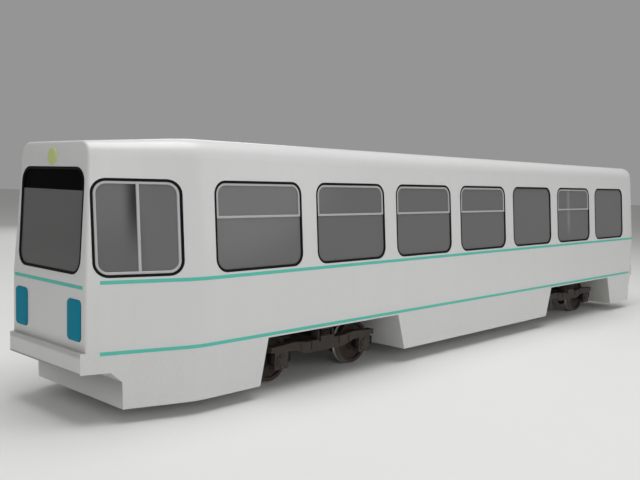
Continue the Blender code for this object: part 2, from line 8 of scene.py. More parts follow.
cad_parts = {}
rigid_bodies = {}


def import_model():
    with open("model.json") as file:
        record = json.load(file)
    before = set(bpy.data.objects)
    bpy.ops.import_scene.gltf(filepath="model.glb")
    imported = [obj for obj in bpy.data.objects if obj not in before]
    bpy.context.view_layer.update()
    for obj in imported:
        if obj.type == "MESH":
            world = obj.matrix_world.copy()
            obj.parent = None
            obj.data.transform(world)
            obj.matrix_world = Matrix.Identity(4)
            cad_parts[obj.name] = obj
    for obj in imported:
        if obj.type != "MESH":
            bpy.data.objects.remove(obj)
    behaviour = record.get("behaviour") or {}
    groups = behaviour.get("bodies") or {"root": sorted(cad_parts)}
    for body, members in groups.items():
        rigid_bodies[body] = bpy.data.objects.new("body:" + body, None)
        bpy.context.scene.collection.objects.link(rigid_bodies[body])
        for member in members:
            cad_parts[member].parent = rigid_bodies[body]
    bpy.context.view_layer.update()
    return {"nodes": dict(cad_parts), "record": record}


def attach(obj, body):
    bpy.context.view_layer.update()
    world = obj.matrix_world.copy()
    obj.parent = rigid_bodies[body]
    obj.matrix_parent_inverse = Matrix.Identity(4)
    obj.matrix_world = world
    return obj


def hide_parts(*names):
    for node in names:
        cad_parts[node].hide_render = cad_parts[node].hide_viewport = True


for leftover in list(bpy.data.objects):
    bpy.data.objects.remove(leftover, do_unlink=True)
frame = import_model()
nodes = frame["nodes"]
print("frame loaded:", len(nodes), "nodes")


# Shader building: a wire is one socket, and sums on wires add Math nodes


class Wire:
    def __init__(self, finish, socket):
        self.finish = finish
        self.socket = socket

    def maths(self, operation, *values):
        return self.finish.node("Math", {"operation": operation}, dict(enumerate(values)))

    def __add__(self, other):
        return self.maths("ADD", self, other)

    def __radd__(self, other):
        return self.maths("ADD", other, self)

    def __sub__(self, other):
        return self.maths("SUBTRACT", self, other)

    def __rsub__(self, other):
        return self.maths("SUBTRACT", other, self)

    def __mul__(self, other):
        return self.maths("MULTIPLY", self, other)

    def __rmul__(self, other):
        return self.maths("MULTIPLY", other, self)

    def wave(self, pitch):
        # a sine over this length, with one crest to each pitch
        return self.maths("SINE", self * (2 * math.pi / pitch))

    def size(self):
        return self.maths("ABSOLUTE", self)


class Finish:
    def __init__(self, name, **settings):
        self.material = bpy.data.materials.new(name)
        self.material.use_nodes = True
        self.tree = self.material.node_tree
        self.shader = self.tree.nodes["Principled BSDF"]
        self.place = self.node("TexCoord", output="Object")
        for socket, value in settings.items():
            self.set(socket.replace("_", " "), value)

    def node(self, kind, settings=None, sockets=None, output=0):
        made = self.tree.nodes.new("ShaderNode" + kind)
        for name, value in (settings or {}).items():
            if name == "stops":
                ramp = made.color_ramp
                while len(ramp.elements) < len(value):
                    ramp.elements.new(0.5)
                for stop, (position, shade) in zip(ramp.elements, value):
                    stop.position = position
                    stop.color = (*shade, 1.0) if isinstance(shade, tuple) else (shade, shade, shade, 1.0)
            else:
                setattr(made, name, value)
        for name, value in (sockets or {}).items():
            self.feed(made.inputs[name], value)
        return Wire(self, made.outputs[output])

    def feed(self, socket, value):
        if isinstance(value, Wire):
            self.tree.links.new(value.socket, socket)
        elif isinstance(value, tuple) and len(value) == 3 and socket.type == "RGBA":
            socket.default_value = (*value, 1.0)
        else:
            socket.default_value = value

    def set(self, name, value):
        self.feed(self.shader.inputs[name], value)

    def axis(self, letter):
        split = self.node("SeparateXYZ", sockets={0: self.place}, output="XYZ".index(letter))
        return split

    def stretched(self, scale):
        return self.node("VectorMath", {"operation": "MULTIPLY"}, {0: self.place, 1: scale})

    def noise(self, scale, detail=3.0, stretch=None, rough=0.5):
        where = self.stretched(stretch) if stretch else self.place
        return self.node("TexNoise", {}, {"Vector": where, "Scale": scale, "Detail": detail, "Roughness": rough})

    def speckle(self, scale, stretch=None):
        where = self.stretched(stretch) if stretch else self.place
        return self.node("TexVoronoi", {}, {"Vector": where, "Scale": scale})

    def between(self, value, low, high, lowOut=0.0, highOut=1.0):
        return self.node("MapRange", {"interpolation_type": "SMOOTHSTEP"}, {
            "Value": value, "From Min": low, "From Max": high, "To Min": lowOut, "To Max": highOut})

    def blend(self, share, first, second):
        mixed = self.tree.nodes.new("ShaderNodeMix")
        mixed.data_type = "RGBA"
        for index, value in ((0, share), (6, first), (7, second)):
            self.feed(mixed.inputs[index], value)
        return Wire(self, mixed.outputs[2])

    def bump(self, height, strength, distance=0.001):
        relief = self.node("Bump", {}, {"Height": height, "Strength": strength, "Distance": distance})
        self.set("Normal", relief)


def colour(red, green, blue):
    # a colour read as on a screen, 0 to 255, made linear
    shades = []
    for value in (red, green, blue):
        value = value / 255
        shades.append(value / 12.92 if value <= 0.04045 else ((value + 0.055) / 1.055) ** 2.4)
    return tuple(shades)


# Shape of the car, as in the solids: stations count back from the nose face

car = {
    "noseY": -7.275,
    "length": 14.55,
    "halfWidth": 1.325,
    "sillZ": 0.813,
    "floorZ": 0.90,
    "beltZ": 1.66,
    "tumble": 0.076,
    "noseInset": 0.429,
    "bendS": 1.283,
    "bendRound": 0.16,
    "rake": 0.0533,
    "tailRake": 0.02,
    "wall": 0.06,
}
windows = {
    "low": 1.740,
    "high": 2.881,
    "width": 1.52,
    "radius": 0.175,
    "firstS": 2.315,
    "pitch": 1.8165,
    "barZ": 2.427,
    "hoppers": (1, 2, 3, 4, 6),
    "doorPlaces": (2, 6),
    "cab": (0.083, 1.111),
    "cabBarS": 0.602,
    "glassDepth": 0.014,
}
screen = {"half": 0.76, "low": 1.760, "band": 2.730, "high": 3.000, "radius": 0.185, "rearHalf": 1.08}
doors = {
    "half": 0.66, "reach": 0.69, "low": 0.93, "high": 2.88,
    "leafDepth": 0.072, "leafLow": 0.915, "leafHigh": 2.91,
    "glassMargin": 0.11, "glassLow": 1.42, "glassHigh": 2.72, "glassRadius": 0.08,
}
bogies = {"front": 3.86, "rear": 11.83, "halfBase": 0.90, "axleZ": 0.366, "tread": 0.34, "beamOut": 1.05}


def straightness(s):
    bend, soft = car["bendS"], car["bendRound"]
    if s <= bend - soft:
        return s / bend
    if s >= bend + soft:
        return 1.0
    past = s - (bend - soft)
    return (bend - soft + past - past * past / (4 * soft)) / bend


def sideX(s, z):
    half = car["halfWidth"] - car["noseInset"] * (1 - straightness(s))
    return half - car["tumble"] * max(0.0, z - car["beltZ"])


def rakeAt(z):
    return car["rake"] * max(0.0, z - car["beltZ"])


def windowSpan(place):
    middle = windows["firstS"] + windows["pitch"] * (place - 1)
    return middle - windows["width"] / 2, middle + windows["width"] / 2


def onSide(sign, inset=0.0):
    # (station, height, how far out) to a point on the left (1) or right (-1) side
    return lambda s, z, out: (sign * (sideX(s, z) - inset + out), car["noseY"] + s, z)


def onNose(x, z, out):
    return (x, car["noseY"] + rakeAt(z) - out, z)


def onTail(x, z, out):
    lean = car["tailRake"] * max(0.0, z - car["beltZ"])
    return (x, car["noseY"] + car["length"] - lean + out, z)


# Mesh building


def addPiece(name, bm, material, body="car", smooth=35):
    name = name.replace(" ", "_")
    bmesh.ops.recalc_face_normals(bm, faces=bm.faces)
    data = bpy.data.meshes.new(name)
    bm.to_mesh(data)
    bm.free()
    piece = bpy.data.objects.new(name, data)
    bpy.context.scene.collection.objects.link(piece)
    data.materials.append(material)
    if smooth:
        data.shade_smooth()
        data.set_sharp_from_angle(angle=math.radians(smooth))
    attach(piece, body)
    return piece


def roundedLoop(aLow, aHigh, bLow, bHigh, topRadius, lowRadius=None, steps=7):
    lowRadius = topRadius if lowRadius is None else lowRadius
    points = []
    corners = (
        (aHigh, bHigh, -1, -1, topRadius, 0),
        (aLow, bHigh, 1, -1, topRadius, 90),
        (aLow, bLow, 1, 1, lowRadius, 180),
        (aHigh, bLow, -1, 1, lowRadius, 270),
    )
    for a, b, da, db, radius, start in corners:
        for step in range(steps + 1):
            turn = math.radians(start + 90 * step / steps)
            points.append((a + da * radius + radius * math.cos(turn), b + db * radius + radius * math.sin(turn)))
    return points


def withBends(points, heights):
    # adds a point wherever a loop crosses a height where the car's surface bends
    full = []
    for (a, b), (nextA, nextB) in zip(points, points[1:] + points[:1]):
        full.append((a, b))
        for height in heights:
            if min(b, nextB) < height - 1e-6 < max(b, nextB) - 2e-6:
                full.append((a + (nextA - a) * (height - b) / (nextB - b), height))
    return full


def ringInto(bm, span, profile, place, capFirst=False, capLast=False, bends=()):
    # sweeps a profile of (outward offset, height) round a rounded rectangle
    aLow, aHigh, bLow, bHigh, topRadius, lowRadius = span
    loops = []
    for offset, height in profile:
        points = roundedLoop(
            aLow - offset, aHigh + offset, bLow - offset, bHigh + offset,
            max(0.001, topRadius + offset), max(0.001, lowRadius + offset))
        loops.append([bm.verts.new(place(a, b, height)) for a, b in withBends(points, bends)])
    stretches = list(zip(loops, loops[1:]))
    if not (capFirst or capLast):
        stretches.append((loops[-1], loops[0]))
    for one, two in stretches:
        for i in range(len(one)):
            j = (i + 1) % len(one)
            bm.faces.new((one[i], one[j], two[j], two[i]))
    if capFirst:
        bm.faces.new(loops[0])
    if capLast:
        bm.faces.new(loops[-1])


def barInto(bm, stops, across, profile, place, upright=False):
    # a bar along the stops on a surface: profile is (offset across, height)
    loops = []
    for stop in stops:
        spots = [(across + offset, stop, height) if upright else (stop, across + offset, height)
                 for offset, height in profile]
        loops.append([bm.verts.new(place(*spot)) for spot in spots])
    for one, two in zip(loops, loops[1:]):
        for i in range(len(profile)):
            j = (i + 1) % len(profile)
            bm.faces.new((one[i], one[j], two[j], two[i]))
    bm.faces.new(loops[0])
    bm.faces.new(loops[-1])


def blockInto(bm, low, high, edge=0.0, turn=None):
    made = bmesh.ops.create_cube(bm, size=1.0)
    middle = [(a + b) / 2 for a, b in zip(low, high)]
    size = [b - a for a, b in zip(low, high)]
    bmesh.ops.scale(bm, vec=size, verts=made["verts"])
    if turn:
        bmesh.ops.rotate(bm, cent=(0, 0, 0), matrix=turn, verts=made["verts"])
    bmesh.ops.translate(bm, vec=middle, verts=made["verts"])
    if edge:
        edges = {e for v in made["verts"] for e in v.link_edges}
        bmesh.ops.bevel(bm, geom=list(edges), offset=edge, segments=2, affect="EDGES", profile=0.7)


def turnedInto(bm, profile, centre, axis, steps=32):
    # turns a profile of (along, radius) about an axis through a centre
    frames = {"X": ((1, 0, 0), (0, 1, 0), (0, 0, 1)), "Y": ((0, 1, 0), (0, 0, 1), (1, 0, 0)),
              "Z": ((0, 0, 1), (1, 0, 0), (0, 1, 0))}
    along, one, two = (Vector(v) for v in frames[axis])
    centre = Vector(centre)
    loops = []
    for distance, radius in profile:
        if radius == 0:
            loops.append([bm.verts.new(centre + along * distance)] * steps)
            continue
        loops.append([
            bm.verts.new(centre + along * distance + radius * (
                one * math.cos(2 * math.pi * k / steps) + two * math.sin(2 * math.pi * k / steps)))
            for k in range(steps)])
    for first, second in zip(loops, loops[1:]):
        for k in range(steps):
            n = (k + 1) % steps
            corners = []
            for vert in (first[k], first[n], second[n], second[k]):
                if vert not in corners:
                    corners.append(vert)
            if len(corners) > 2:
                bm.faces.new(corners)


def tubeInto(bm, points, radius, steps=8, closeEnds=True):
    # a round bar along a chain of points
    points = [Vector(p) for p in points]
    loops = []
    side = None
    for i, point in enumerate(points):
        ahead = (points[min(i + 1, len(points) - 1)] - points[max(i - 1, 0)]).normalized()
        if side is None:
            side = ahead.orthogonal().normalized()
        side = (side - ahead * side.dot(ahead)).normalized()
        other = ahead.cross(side)
        loops.append([
            bm.verts.new(point + radius * (side * math.cos(2 * math.pi * k / steps)
                                           + other * math.sin(2 * math.pi * k / steps)))
            for k in range(steps)])
    for one, two in zip(loops, loops[1:]):
        for k in range(steps):
            n = (k + 1) % steps
            bm.faces.new((one[k], one[n], two[n], two[k]))
    if closeEnds:
        bm.faces.new(loops[0])
        bm.faces.new(loops[-1])


# Finishes


paint = {
    "body": colour(214, 214, 214),
    "grime": colour(120, 116, 110),
    # grey of the painted shade above and below the front bumper
    "paintedBumperShade": colour(132, 131, 130),
    "stripe": colour(84, 190, 172),
    "lamp": colour(6, 134, 160),
    "headlight": colour(186, 198, 134),
    "lining": colour(196, 196, 190),
    "seat": colour(38, 92, 108),
}


glassPaintedGlint = 3.90  # painted reflection: a faint bright line on the sixth left window
cabGlassPaintedShade = (-6.86, -6.705, 1.90, 2.65)  # painted shade on the cab glass: start, darkest place, low and high end


def coachPaint(name, shade):
    finish = Finish(name, Specular_IOR_Level=0.4, Coat_Roughness=0.15)
    height = finish.axis("Z")
    facing = finish.node("NewGeometry", output="Normal")
    upward = finish.node("SeparateXYZ", sockets={0: facing}, output=2)
    cloudy = finish.noise(0.9, 4.0)
    streaks = finish.noise(7.0, 4.0, stretch=(1.0, 1.0, 0.06))
    film = finish.noise(38.0, 5.0)
    low = finish.between(height, 1.05, 0.75)  # dust thrown up along the sill
    dirt = (low * 0.12 + 0.05) * film + streaks * 0.05
    dirt = dirt + finish.between(upward, 0.97, 1.0) * finish.noise(2.2, 5.0) * 0.2  # soot settled on the roof
    # painted shade on the nose: darker just above the bumper (ledge) and on the skirt face under it (apron), where the
    # bumper shades them
    nose = finish.between(finish.axis("Y"), car["noseY"] + 0.46, car["noseY"] + 0.42)
    ledge = finish.between(height, 1.02, 0.86) * finish.between(height, 0.80, 0.85) * nose
    apron = finish.between(height, 0.12, 0.60) * finish.between(height, 0.66, 0.64) * nose
    frontward = finish.node("SeparateXYZ", sockets={0: facing}, output=1)
    paintedBumperShade = (ledge * 0.5 + apron * 0.9) * finish.between(frontward, -0.8, -0.97)
    base = finish.blend(cloudy * 0.12, shade, tuple(0.86 * c for c in shade))
    base = finish.blend(paintedBumperShade, base, paint["paintedBumperShade"])
    outward = finish.node("VectorMath", {"operation": "SUBTRACT"}, {0: finish.place, 1: (0, 0, 1.9)})
    outward = finish.node("VectorMath", {"operation": "DOT_PRODUCT"}, {0: outward, 1: facing}, output="Value")
    base = finish.blend(finish.between(outward, -0.3, -0.5), base, paint["lining"])  # faces inside the car
    finish.set("Base Color", finish.blend(dirt, base, paint["grime"]))
    finish.set("Roughness", 0.36 + cloudy * 0.08 + dirt * 0.5)
    finish.set("Coat Weight", 0.35 - dirt * 0.6)
    ripple = finish.noise(260.0, 2.0)  # faint orange peel over a slightly uneven sheet
    finish.bump(ripple * 0.12 + finish.noise(2.4, 1.0) * 1.0, 0.18, 0.0012)
    return finish.material


def stripePaint():
    finish = Finish("stripe paint", Specular_IOR_Level=0.4)
    worn = finish.noise(30.0, 5.0)
    finish.set("Base Color", finish.blend(worn * 0.22, paint["stripe"], tuple(0.8 * c for c in paint["stripe"])))
    finish.set("Roughness", 0.38 + worn * 0.15)
    finish.bump(finish.noise(240.0, 2.0), 0.12, 0.0006)
    return finish.material


def windowGlass(name, shade, clear, gloss=0.35, post=None):
    finish = Finish(name, IOR=1.45, Specular_IOR_Level=gloss)
    haze = finish.noise(1.6, 3.0)
    dust = finish.noise(60.0, 4.0)
    tint = finish.blend(haze * 0.25, shade, tuple(0.85 * c for c in shade))
    left = finish.between(finish.axis("X"), 0.0, 1.0)
    # painted reflection: a faint bright streak blended into the glass tint on the left side
    glint = finish.between((finish.axis("Y") - glassPaintedGlint).size(), 0.10, 0.0) * left
    tint = finish.blend(glint * finish.between(finish.axis("Z"), 1.8, 2.2) * 0.10, tint, colour(255, 255, 255))
    if post:  # painted shade: a darker band beside the bar of the sliding half, and a fainter one just past it
        start, end, low, high = post
        along = finish.axis("Y")
        band = finish.between(along, start, end) * finish.between(along, end + 0.025, end + 0.015)
        band = band * finish.between(finish.axis("Z"), low, high)
        # fainter painted shade just past the bar, stronger lower down
        edge = finish.between(along, end + 0.18, end + 0.03) * finish.between(finish.axis("Z"), 2.7, 2.0)
        tint = finish.blend(band * 0.85 + edge * 0.12, tint, colour(24, 24, 24))
    finish.set("Base Color", tint)
    finish.set("Roughness", 0.10 + dust * 0.07)
    finish.set("Alpha", 1.0 - clear + dust * 0.04)
    finish.bump(finish.noise(1.2, 1.0), 0.05, 0.002)
    return finish.material


def rubber(name, shade, rough=0.6):
    finish = Finish(name, Specular_IOR_Level=0.15)
    chalk = finish.noise(45.0, 4.0)
    finish.set("Base Color", finish.blend(chalk * 0.25, shade, tuple(min(1.0, 2.0 * c + 0.004) for c in shade)))
    finish.set("Roughness", rough + chalk * 0.15)
    finish.bump(finish.noise(420.0, 2.0), 0.25, 0.0004)
    return finish.material


def metal(name, shade, rough, grain=(1.0, 1.0, 1.0), strength=0.2, scratches=1.0):
    finish = Finish(name)
    finish.set("Metallic", 1.0)
    brushed = finish.noise(180.0, 4.0, stretch=grain)
    marks = finish.noise(14.0, 5.0)
    finish.set("Base Color", finish.blend(marks * 0.3 * scratches, shade, tuple(0.72 * c for c in shade)))
    finish.set("Roughness", rough + brushed * 0.14 + marks * 0.08)
    finish.bump(brushed, strength, 0.0005)
    return finish.material


def framePaint():
    # satin anodised window frames, read as pale grey
    finish = Finish("window frame anodising", Specular_IOR_Level=0.35)
    drawn = finish.noise(160.0, 4.0, stretch=(1.0, 0.05, 1.0))
    handled = finish.noise(12.0, 5.0)
    finish.set("Base Color", finish.blend(handled * 0.25, colour(184, 185, 186), colour(146, 146, 146)))
    finish.set("Metallic", 0.25 + drawn * 0.1)
    finish.set("Roughness", 0.42 + drawn * 0.15)
    finish.bump(drawn, 0.15, 0.0004)
    return finish.material


def glossPanel(name, shade, rough=0.18, gloss=0.3):
    finish = Finish(name, Specular_IOR_Level=gloss)
    smear = finish.noise(9.0, 5.0)
    finish.set("Base Color", finish.blend(smear * 0.3, shade, tuple(1.25 * c + 0.001 for c in shade)))
    finish.set("Roughness", rough + smear * 0.16)
    finish.bump(finish.noise(300.0, 2.0), 0.06, 0.0004)
    return finish.material


def lensPlastic(name, shade, pitch, along, light=0.0):
    # moulded flutes at a real pitch, running up or across the lens
    finish = Finish(name, Specular_IOR_Level=0.06)
    across = finish.axis(along)
    flute = across.wave(pitch)
    smear = finish.noise(16.0, 4.0)
    finish.set("Base Color", finish.blend(0.5 + flute * 0.14 + smear * 0.1 - 0.05, tuple(0.82 * c for c in shade), shade))
    finish.set("Roughness", 0.42 + smear * 0.12)
    if light:
        finish.set("Emission Color", finish.blend(0.5 + flute * 0.2, tuple(0.7 * c for c in shade), shade))
        finish.set("Emission Strength", light)
    finish.bump(flute, 0.30, 0.0008)
    return finish.material


def lining(name, shade):
    finish = Finish(name)
    scuff = finish.noise(11.0, 5.0)
    finish.set("Base Color", finish.blend(scuff * 0.2, shade, tuple(0.7 * c for c in shade)))
    finish.set("Roughness", 0.5 + scuff * 0.2)
    finish.bump(finish.speckle(420.0), 0.15, 0.0004)
    return finish.material


def ribbedFloor():
    finish = Finish("ribbed floor covering")
    across = finish.axis("X")
    rib = across.wave(0.02)
    dust = finish.noise(8.0, 6.0)
    finish.set("Base Color", finish.blend(dust * 0.6, colour(52, 53, 56), colour(96, 93, 88)))
    finish.set("Roughness", 0.62 + dust * 0.2)
    finish.bump(rib + finish.noise(200.0, 2.0) * 0.4, 0.5, 0.0012)
    return finish.material


def seatFabric():
    # plain weave of two yarns with a fine fleck
    finish = Finish("seat fabric", Sheen_Weight=0.35, Sheen_Roughness=0.5)
    weave = finish.axis("X").wave(0.0045) * (finish.axis("Y") + finish.axis("Z")).wave(0.0045)
    fleck = finish.speckle(120.0)
    worn = finish.noise(5.0, 4.0)
    dark = tuple(0.55 * c for c in paint["seat"])
    base = finish.blend(0.5 + weave * 0.25, dark, paint["seat"])
    lit = finish.blend(finish.between(fleck, 0.16, 0.05), base, colour(96, 176, 160))
    finish.set("Base Color", finish.blend(worn * 0.25, lit, colour(90, 110, 112)))
    finish.set("Roughness", 0.82 + worn * 0.12)
    finish.bump(weave + finish.noise(220.0, 3.0) * 0.5, 0.5, 0.0009)
    return finish.material


def bogiePaint():
    finish = Finish("bogie paint")
    grime = finish.noise(6.0, 6.0)
    rust = finish.between(finish.noise(17.0, 6.0), 0.55, 0.72)
    base = finish.blend(grime * 0.7, colour(34, 33, 33), colour(84, 72, 60))
    finish.set("Base Color", finish.blend(rust * 0.5, base, colour(96, 58, 36)))
    finish.set("Roughness", 0.66 + grime * 0.25)
    finish.bump(finish.noise(55.0, 6.0) + finish.noise(9.0, 3.0), 0.5, 0.0018)
    return finish.material


def wheelSteel(name, axleY):
    # bright tread, rusty web, by distance from the axle
    finish = Finish(name)
    centre = finish.node("VectorMath", {"operation": "SUBTRACT"}, {0: finish.place, 1: (0, axleY, bogies["axleZ"])})
    flat = finish.node("VectorMath", {"operation": "MULTIPLY"}, {0: centre, 1: (0, 1, 1)})
    radius = finish.node("VectorMath", {"operation": "LENGTH"}, {0: flat}, output="Value")
    tread = finish.between(radius, 0.332, 0.338)
    grime = finish.noise(8.0, 6.0)
    rings = radius.wave(0.0045)
    worn = finish.blend(grime * 0.4, colour(176, 174, 170), colour(128, 122, 114))
    rusty = finish.blend(grime * 0.9, colour(74, 58, 46), colour(40, 37, 36))
    finish.set("Base Color", finish.blend(tread, rusty, worn))
    finish.set("Metallic", tread * 0.95)
    finish.set("Roughness", 0.78 - tread * 0.46 + grime * 0.1)
    finish.bump(finish.noise(70.0, 5.0) * (1 - tread) + rings * 0.04, 0.45, 0.0012)
    return finish.material


def makeFinishes():
    made = {
        "body": coachPaint("coach paint", paint["body"]),
        "stripe": stripePaint(),
        "glass": windowGlass("window glass", colour(110, 110, 110), 0.08),
        "screenGlass": windowGlass("windscreen glass", colour(100, 100, 100), 0.08),
        "cabGlass": windowGlass("cab window glass", colour(116, 116, 116), 0.08, 0.10, cabGlassPaintedShade),
        "black": glossPanel("black header panel", colour(2, 2, 3), 0.4, 0.02),
        "seal": rubber("window rubber", colour(7, 7, 8)),
        "nosing": rubber("door nosing rubber", colour(22, 22, 24), 0.55),
        "frame": framePaint(),
        "chrome": metal("lamp bezel", colour(206, 206, 204), 0.16, strength=0.06),
        "headlight": lensPlastic("headlight lens", paint["headlight"], 0.012, "X", light=0.12),
        "lamp": lensPlastic("lamp panel lens", paint["lamp"], 0.010, "X"),
        "tail": lensPlastic("tail lamp lens", colour(170, 22, 22), 0.008, "X", light=0.05),
        "lining": lining("laminate lining", paint["lining"]),
        "desk": lining("desk moulding", colour(70, 74, 78)),
        "floor": ribbedFloor(),
        "fabric": seatFabric(),
        "shell": lining("seat shell moulding", colour(150, 154, 156)),
        "rail": metal("handrail steel", colour(196, 196, 194), 0.24, strength=0.1),
        "tread": metal("threshold plate", colour(160, 160, 158), 0.42, grain=(0.1, 1.0, 1.0)),
        "bogie": bogiePaint(),
        "spring": metal("spring steel", colour(60, 58, 56), 0.5, scratches=1.6),
        "disc": metal("brake disc", colour(150, 146, 140), 0.34, strength=0.15),
        "bolt": metal("bolt heads", colour(120, 116, 110), 0.45),
        "light": glossPanel("ceiling light diffuser", colour(226, 226, 220), 0.35),
        "display": glossPanel("dark display glass", colour(14, 17, 20)),
    }
    print("finishes made:", len(made))
    return made


finishes = makeFinishes()


def smoothShading(limit):
    # geometry nodes that join the solid's faces and shade them smooth up to an angle in degrees
    group = bpy.data.node_groups.new(f"smooth up to {limit} degrees", "GeometryNodeTree")
    for way in ("INPUT", "OUTPUT"):
        group.interface.new_socket("Geometry", in_out=way, socket_type="NodeSocketGeometry")
    steps = {}
    for name, kind in (("start", "NodeGroupInput"), ("merge", "GeometryNodeMergeByDistance"),
                       ("forget", "GeometryNodeRemoveAttribute"), ("faces", "GeometryNodeSetShadeSmooth"),
                       ("angle", "GeometryNodeInputMeshEdgeAngle"), ("soft", "FunctionNodeCompare"),
                       ("edges", "GeometryNodeSetShadeSmooth"), ("end", "NodeGroupOutput")):
        steps[name] = group.nodes.new(kind)
    steps["merge"].inputs["Distance"].default_value = 0.00005
    steps["forget"].inputs["Name"].default_value = "custom_normal"
    steps["faces"].domain = "FACE"
    steps["edges"].domain = "EDGE"
    steps["soft"].data_type = "FLOAT"
    steps["soft"].operation = "LESS_THAN"
    steps["soft"].inputs["B"].default_value = math.radians(limit)
    for one, two in zip(("start", "merge", "forget", "faces", "edges"), ("merge", "forget", "faces", "edges", "end")):
        group.links.new(steps[one].outputs["Geometry"], steps[two].inputs["Geometry"])
    group.links.new(steps["angle"].outputs["Unsigned Angle"], steps["soft"].inputs["A"])
    group.links.new(steps["soft"].outputs["Result"], steps["edges"].inputs["Shade Smooth"])
    return group


def dressNodes():
    # every solid that stays takes a detailed finish and smooth shading where it is round
    worn = {
        "body_paint": "body", "roof_paint": "body", "glass": "glass", "black_panel": "black",
        "headlight_glass": "headlight", "lamp_blue": "lamp", "tail_red": "tail", "inner_panel": "lining",
        "floor_grey": "floor", "seat_blue": "fabric", "rail_steel": "rail", "bogie_black": "bogie",
        "wheel_steel": "bogie",
    }
    slots = {part["node"]: part["material_slot"] for part in frame["record"]["subparts"]}
    softEdges = {"rear_bumper": 0.006, "driver_desk": 0.012, "cab_bulkhead": 0.004}  # node: edge radius
    sheets = ("left_side_wall", "right_wall_front", "right_wall_middle", "right_wall_rear")
    fine, coarse = smoothShading(3.5), smoothShading(40)
    for name, node in nodes.items():
        material = finishes[worn[slots[name]]]
        if name in ("windscreen", "rear_window"):
            material = finishes["screenGlass"]
        if name.endswith("cab_window"):
            material = finishes["cabGlass"]
        if name.startswith("wheelset"):
            axle = int(name[-1])
            place = bogies["front"] if axle < 3 else bogies["rear"]
            side = -1 if axle % 2 else 1
            material = wheelSteel(f"wheel steel {axle}", car["noseY"] + place + side * bogies["halfBase"])
        for slot in node.material_slots:
            slot.material = material
        smooth = node.modifiers.new("smooth shading", "NODES")
        smooth.node_group = fine if name in sheets else coarse
        if name in softEdges:
            edge = node.modifiers.new("soft edge", "BEVEL")
            edge.width = softEdges[name]
            edge.segments = 2
            edge.limit_method = "ANGLE"
            edge.angle_limit = math.radians(25)
            edge.harden_normals = True
    print("solids dressed")


dressNodes()


# Windows


seal = {"width": 0.030, "lap": 0.003, "crest": 0.005, "screenWidth": 0.029}
hopper = {"face": 0.030, "gap": 0.0005, "proud": -0.002, "bar": 0.032, "cabFace": 0.031}


def sealProfile(width, depth=-windows["glassDepth"]):
    return [
        (-width, depth), (-width, -0.004), (-width * 0.75, seal["crest"] * 0.7), (-width * 0.35, seal["crest"]),
        (seal["lap"] * 0.4, seal["crest"] * 0.6), (seal["lap"], 0.0006), (seal["lap"], -0.0004), (-0.0025, -0.0004),
        (-0.0025, depth),
    ]


def frameProfile(inner, face, top):
    # a light frame standing on the glass, from inner to inner + face
    depth = -windows["glassDepth"]
    lip = min(0.004, face * 0.25)
    return [
        (inner, depth), (inner, top - lip), (inner + lip, top), (inner + face - lip, top),
        (inner + face, top - lip), (inner + face, depth),
    ]


def windowTrim(name, sign, span, body="car", hopperBar=False, cabBar=None):
    place = onSide(sign)
    low, high = windows["low"], windows["high"]
    outline = (span[0], span[1], low, high, windows["radius"], windows["radius"])
    bm = bmesh.new()
    ringInto(bm, outline, sealProfile(seal["width"]), place)
    addPiece(f"{name} rubber", bm, finishes["seal"], body)
    inner = -seal["width"] - hopper["gap"]
    top = hopper["proud"]
    if hopperBar:
        bm = bmesh.new()
        bar = windows["barZ"] - hopper["bar"] / 2
        shape = (span[0], span[1], bar + inner, high, windows["radius"], 0.012 - inner)
        ringInto(bm, shape, frameProfile(inner - hopper["face"], hopper["face"], top), place)
        addPiece(f"{name} hopper frame", bm, finishes["frame"], body)
        hopperCatches(name, sign, span, body)
    if cabBar:
        bm = bmesh.new()
        face = hopper["cabFace"]
        ringInto(bm, outline, frameProfile(inner - face, face, top), place)
        ends = (low - inner + face * 0.5, high + inner - face * 0.5)
        half = 0.017
        profile = [(-half, -0.013), (-half, top - 0.003), (-half + 0.004, top + 0.0006),
                   (half - 0.004, top + 0.0006), (half, top - 0.003), (half, -0.013)]
        barInto(bm, ends, cabBar, profile, place, upright=True)
        addPiece(f"{name} sliding frame", bm, finishes["frame"], body)


def hopperCatches(name, sign, span, body):
    # two small catches behind the glass, on the inner side of the hopper's bar
    bm = bmesh.new()
    place = onSide(sign)
    for share in (0.3, 0.7):
        s = span[0] + (span[1] - span[0]) * share
        x, y, z = place(s, windows["barZ"] + 0.03, -0.055)
        blockInto(bm, (x - 0.01, y - 0.03, z - 0.008), (x + 0.01, y + 0.03, z + 0.008), 0.003)
    addPiece(f"{name} catches", bm, finishes["desk"], body)


def screenTrim(name, place, half):
    bm = bmesh.new()
    outline = (-half, half, screen["low"], screen["high"], screen["radius"], screen["radius"])
    ringInto(bm, outline, sealProfile(seal["screenWidth"]), place)
    addPiece(f"{name} rubber", bm, finishes["seal"], "car")


def makeWindowTrim():
    for place in range(1, 8):
        span = windowSpan(place)
        windowTrim(f"left window {place}", 1, span, hopperBar=place in windows["hoppers"])
        if place not in windows["doorPlaces"]:
            windowTrim(f"right window {place}", -1, span, hopperBar=place in windows["hoppers"])
    for side, sign in (("left", 1), ("right", -1)):
        windowTrim(f"{side} cab window", sign, windows["cab"], cabBar=windows["cabBarS"])
    screenTrim("windscreen", onNose, screen["half"])
    screenTrim("rear window", onTail, screen["rearHalf"])
    print("window trim made")


makeWindowTrim()


# Stripes


stripes = {"upperZ": 1.687, "lowerZ": 0.859, "frontZ": 1.626, "wide": 0.044, "thick": 0.0014, "startS": 0.155,
           "lowerEndS": 14.43, "frontX": (-0.849, 0.832)}


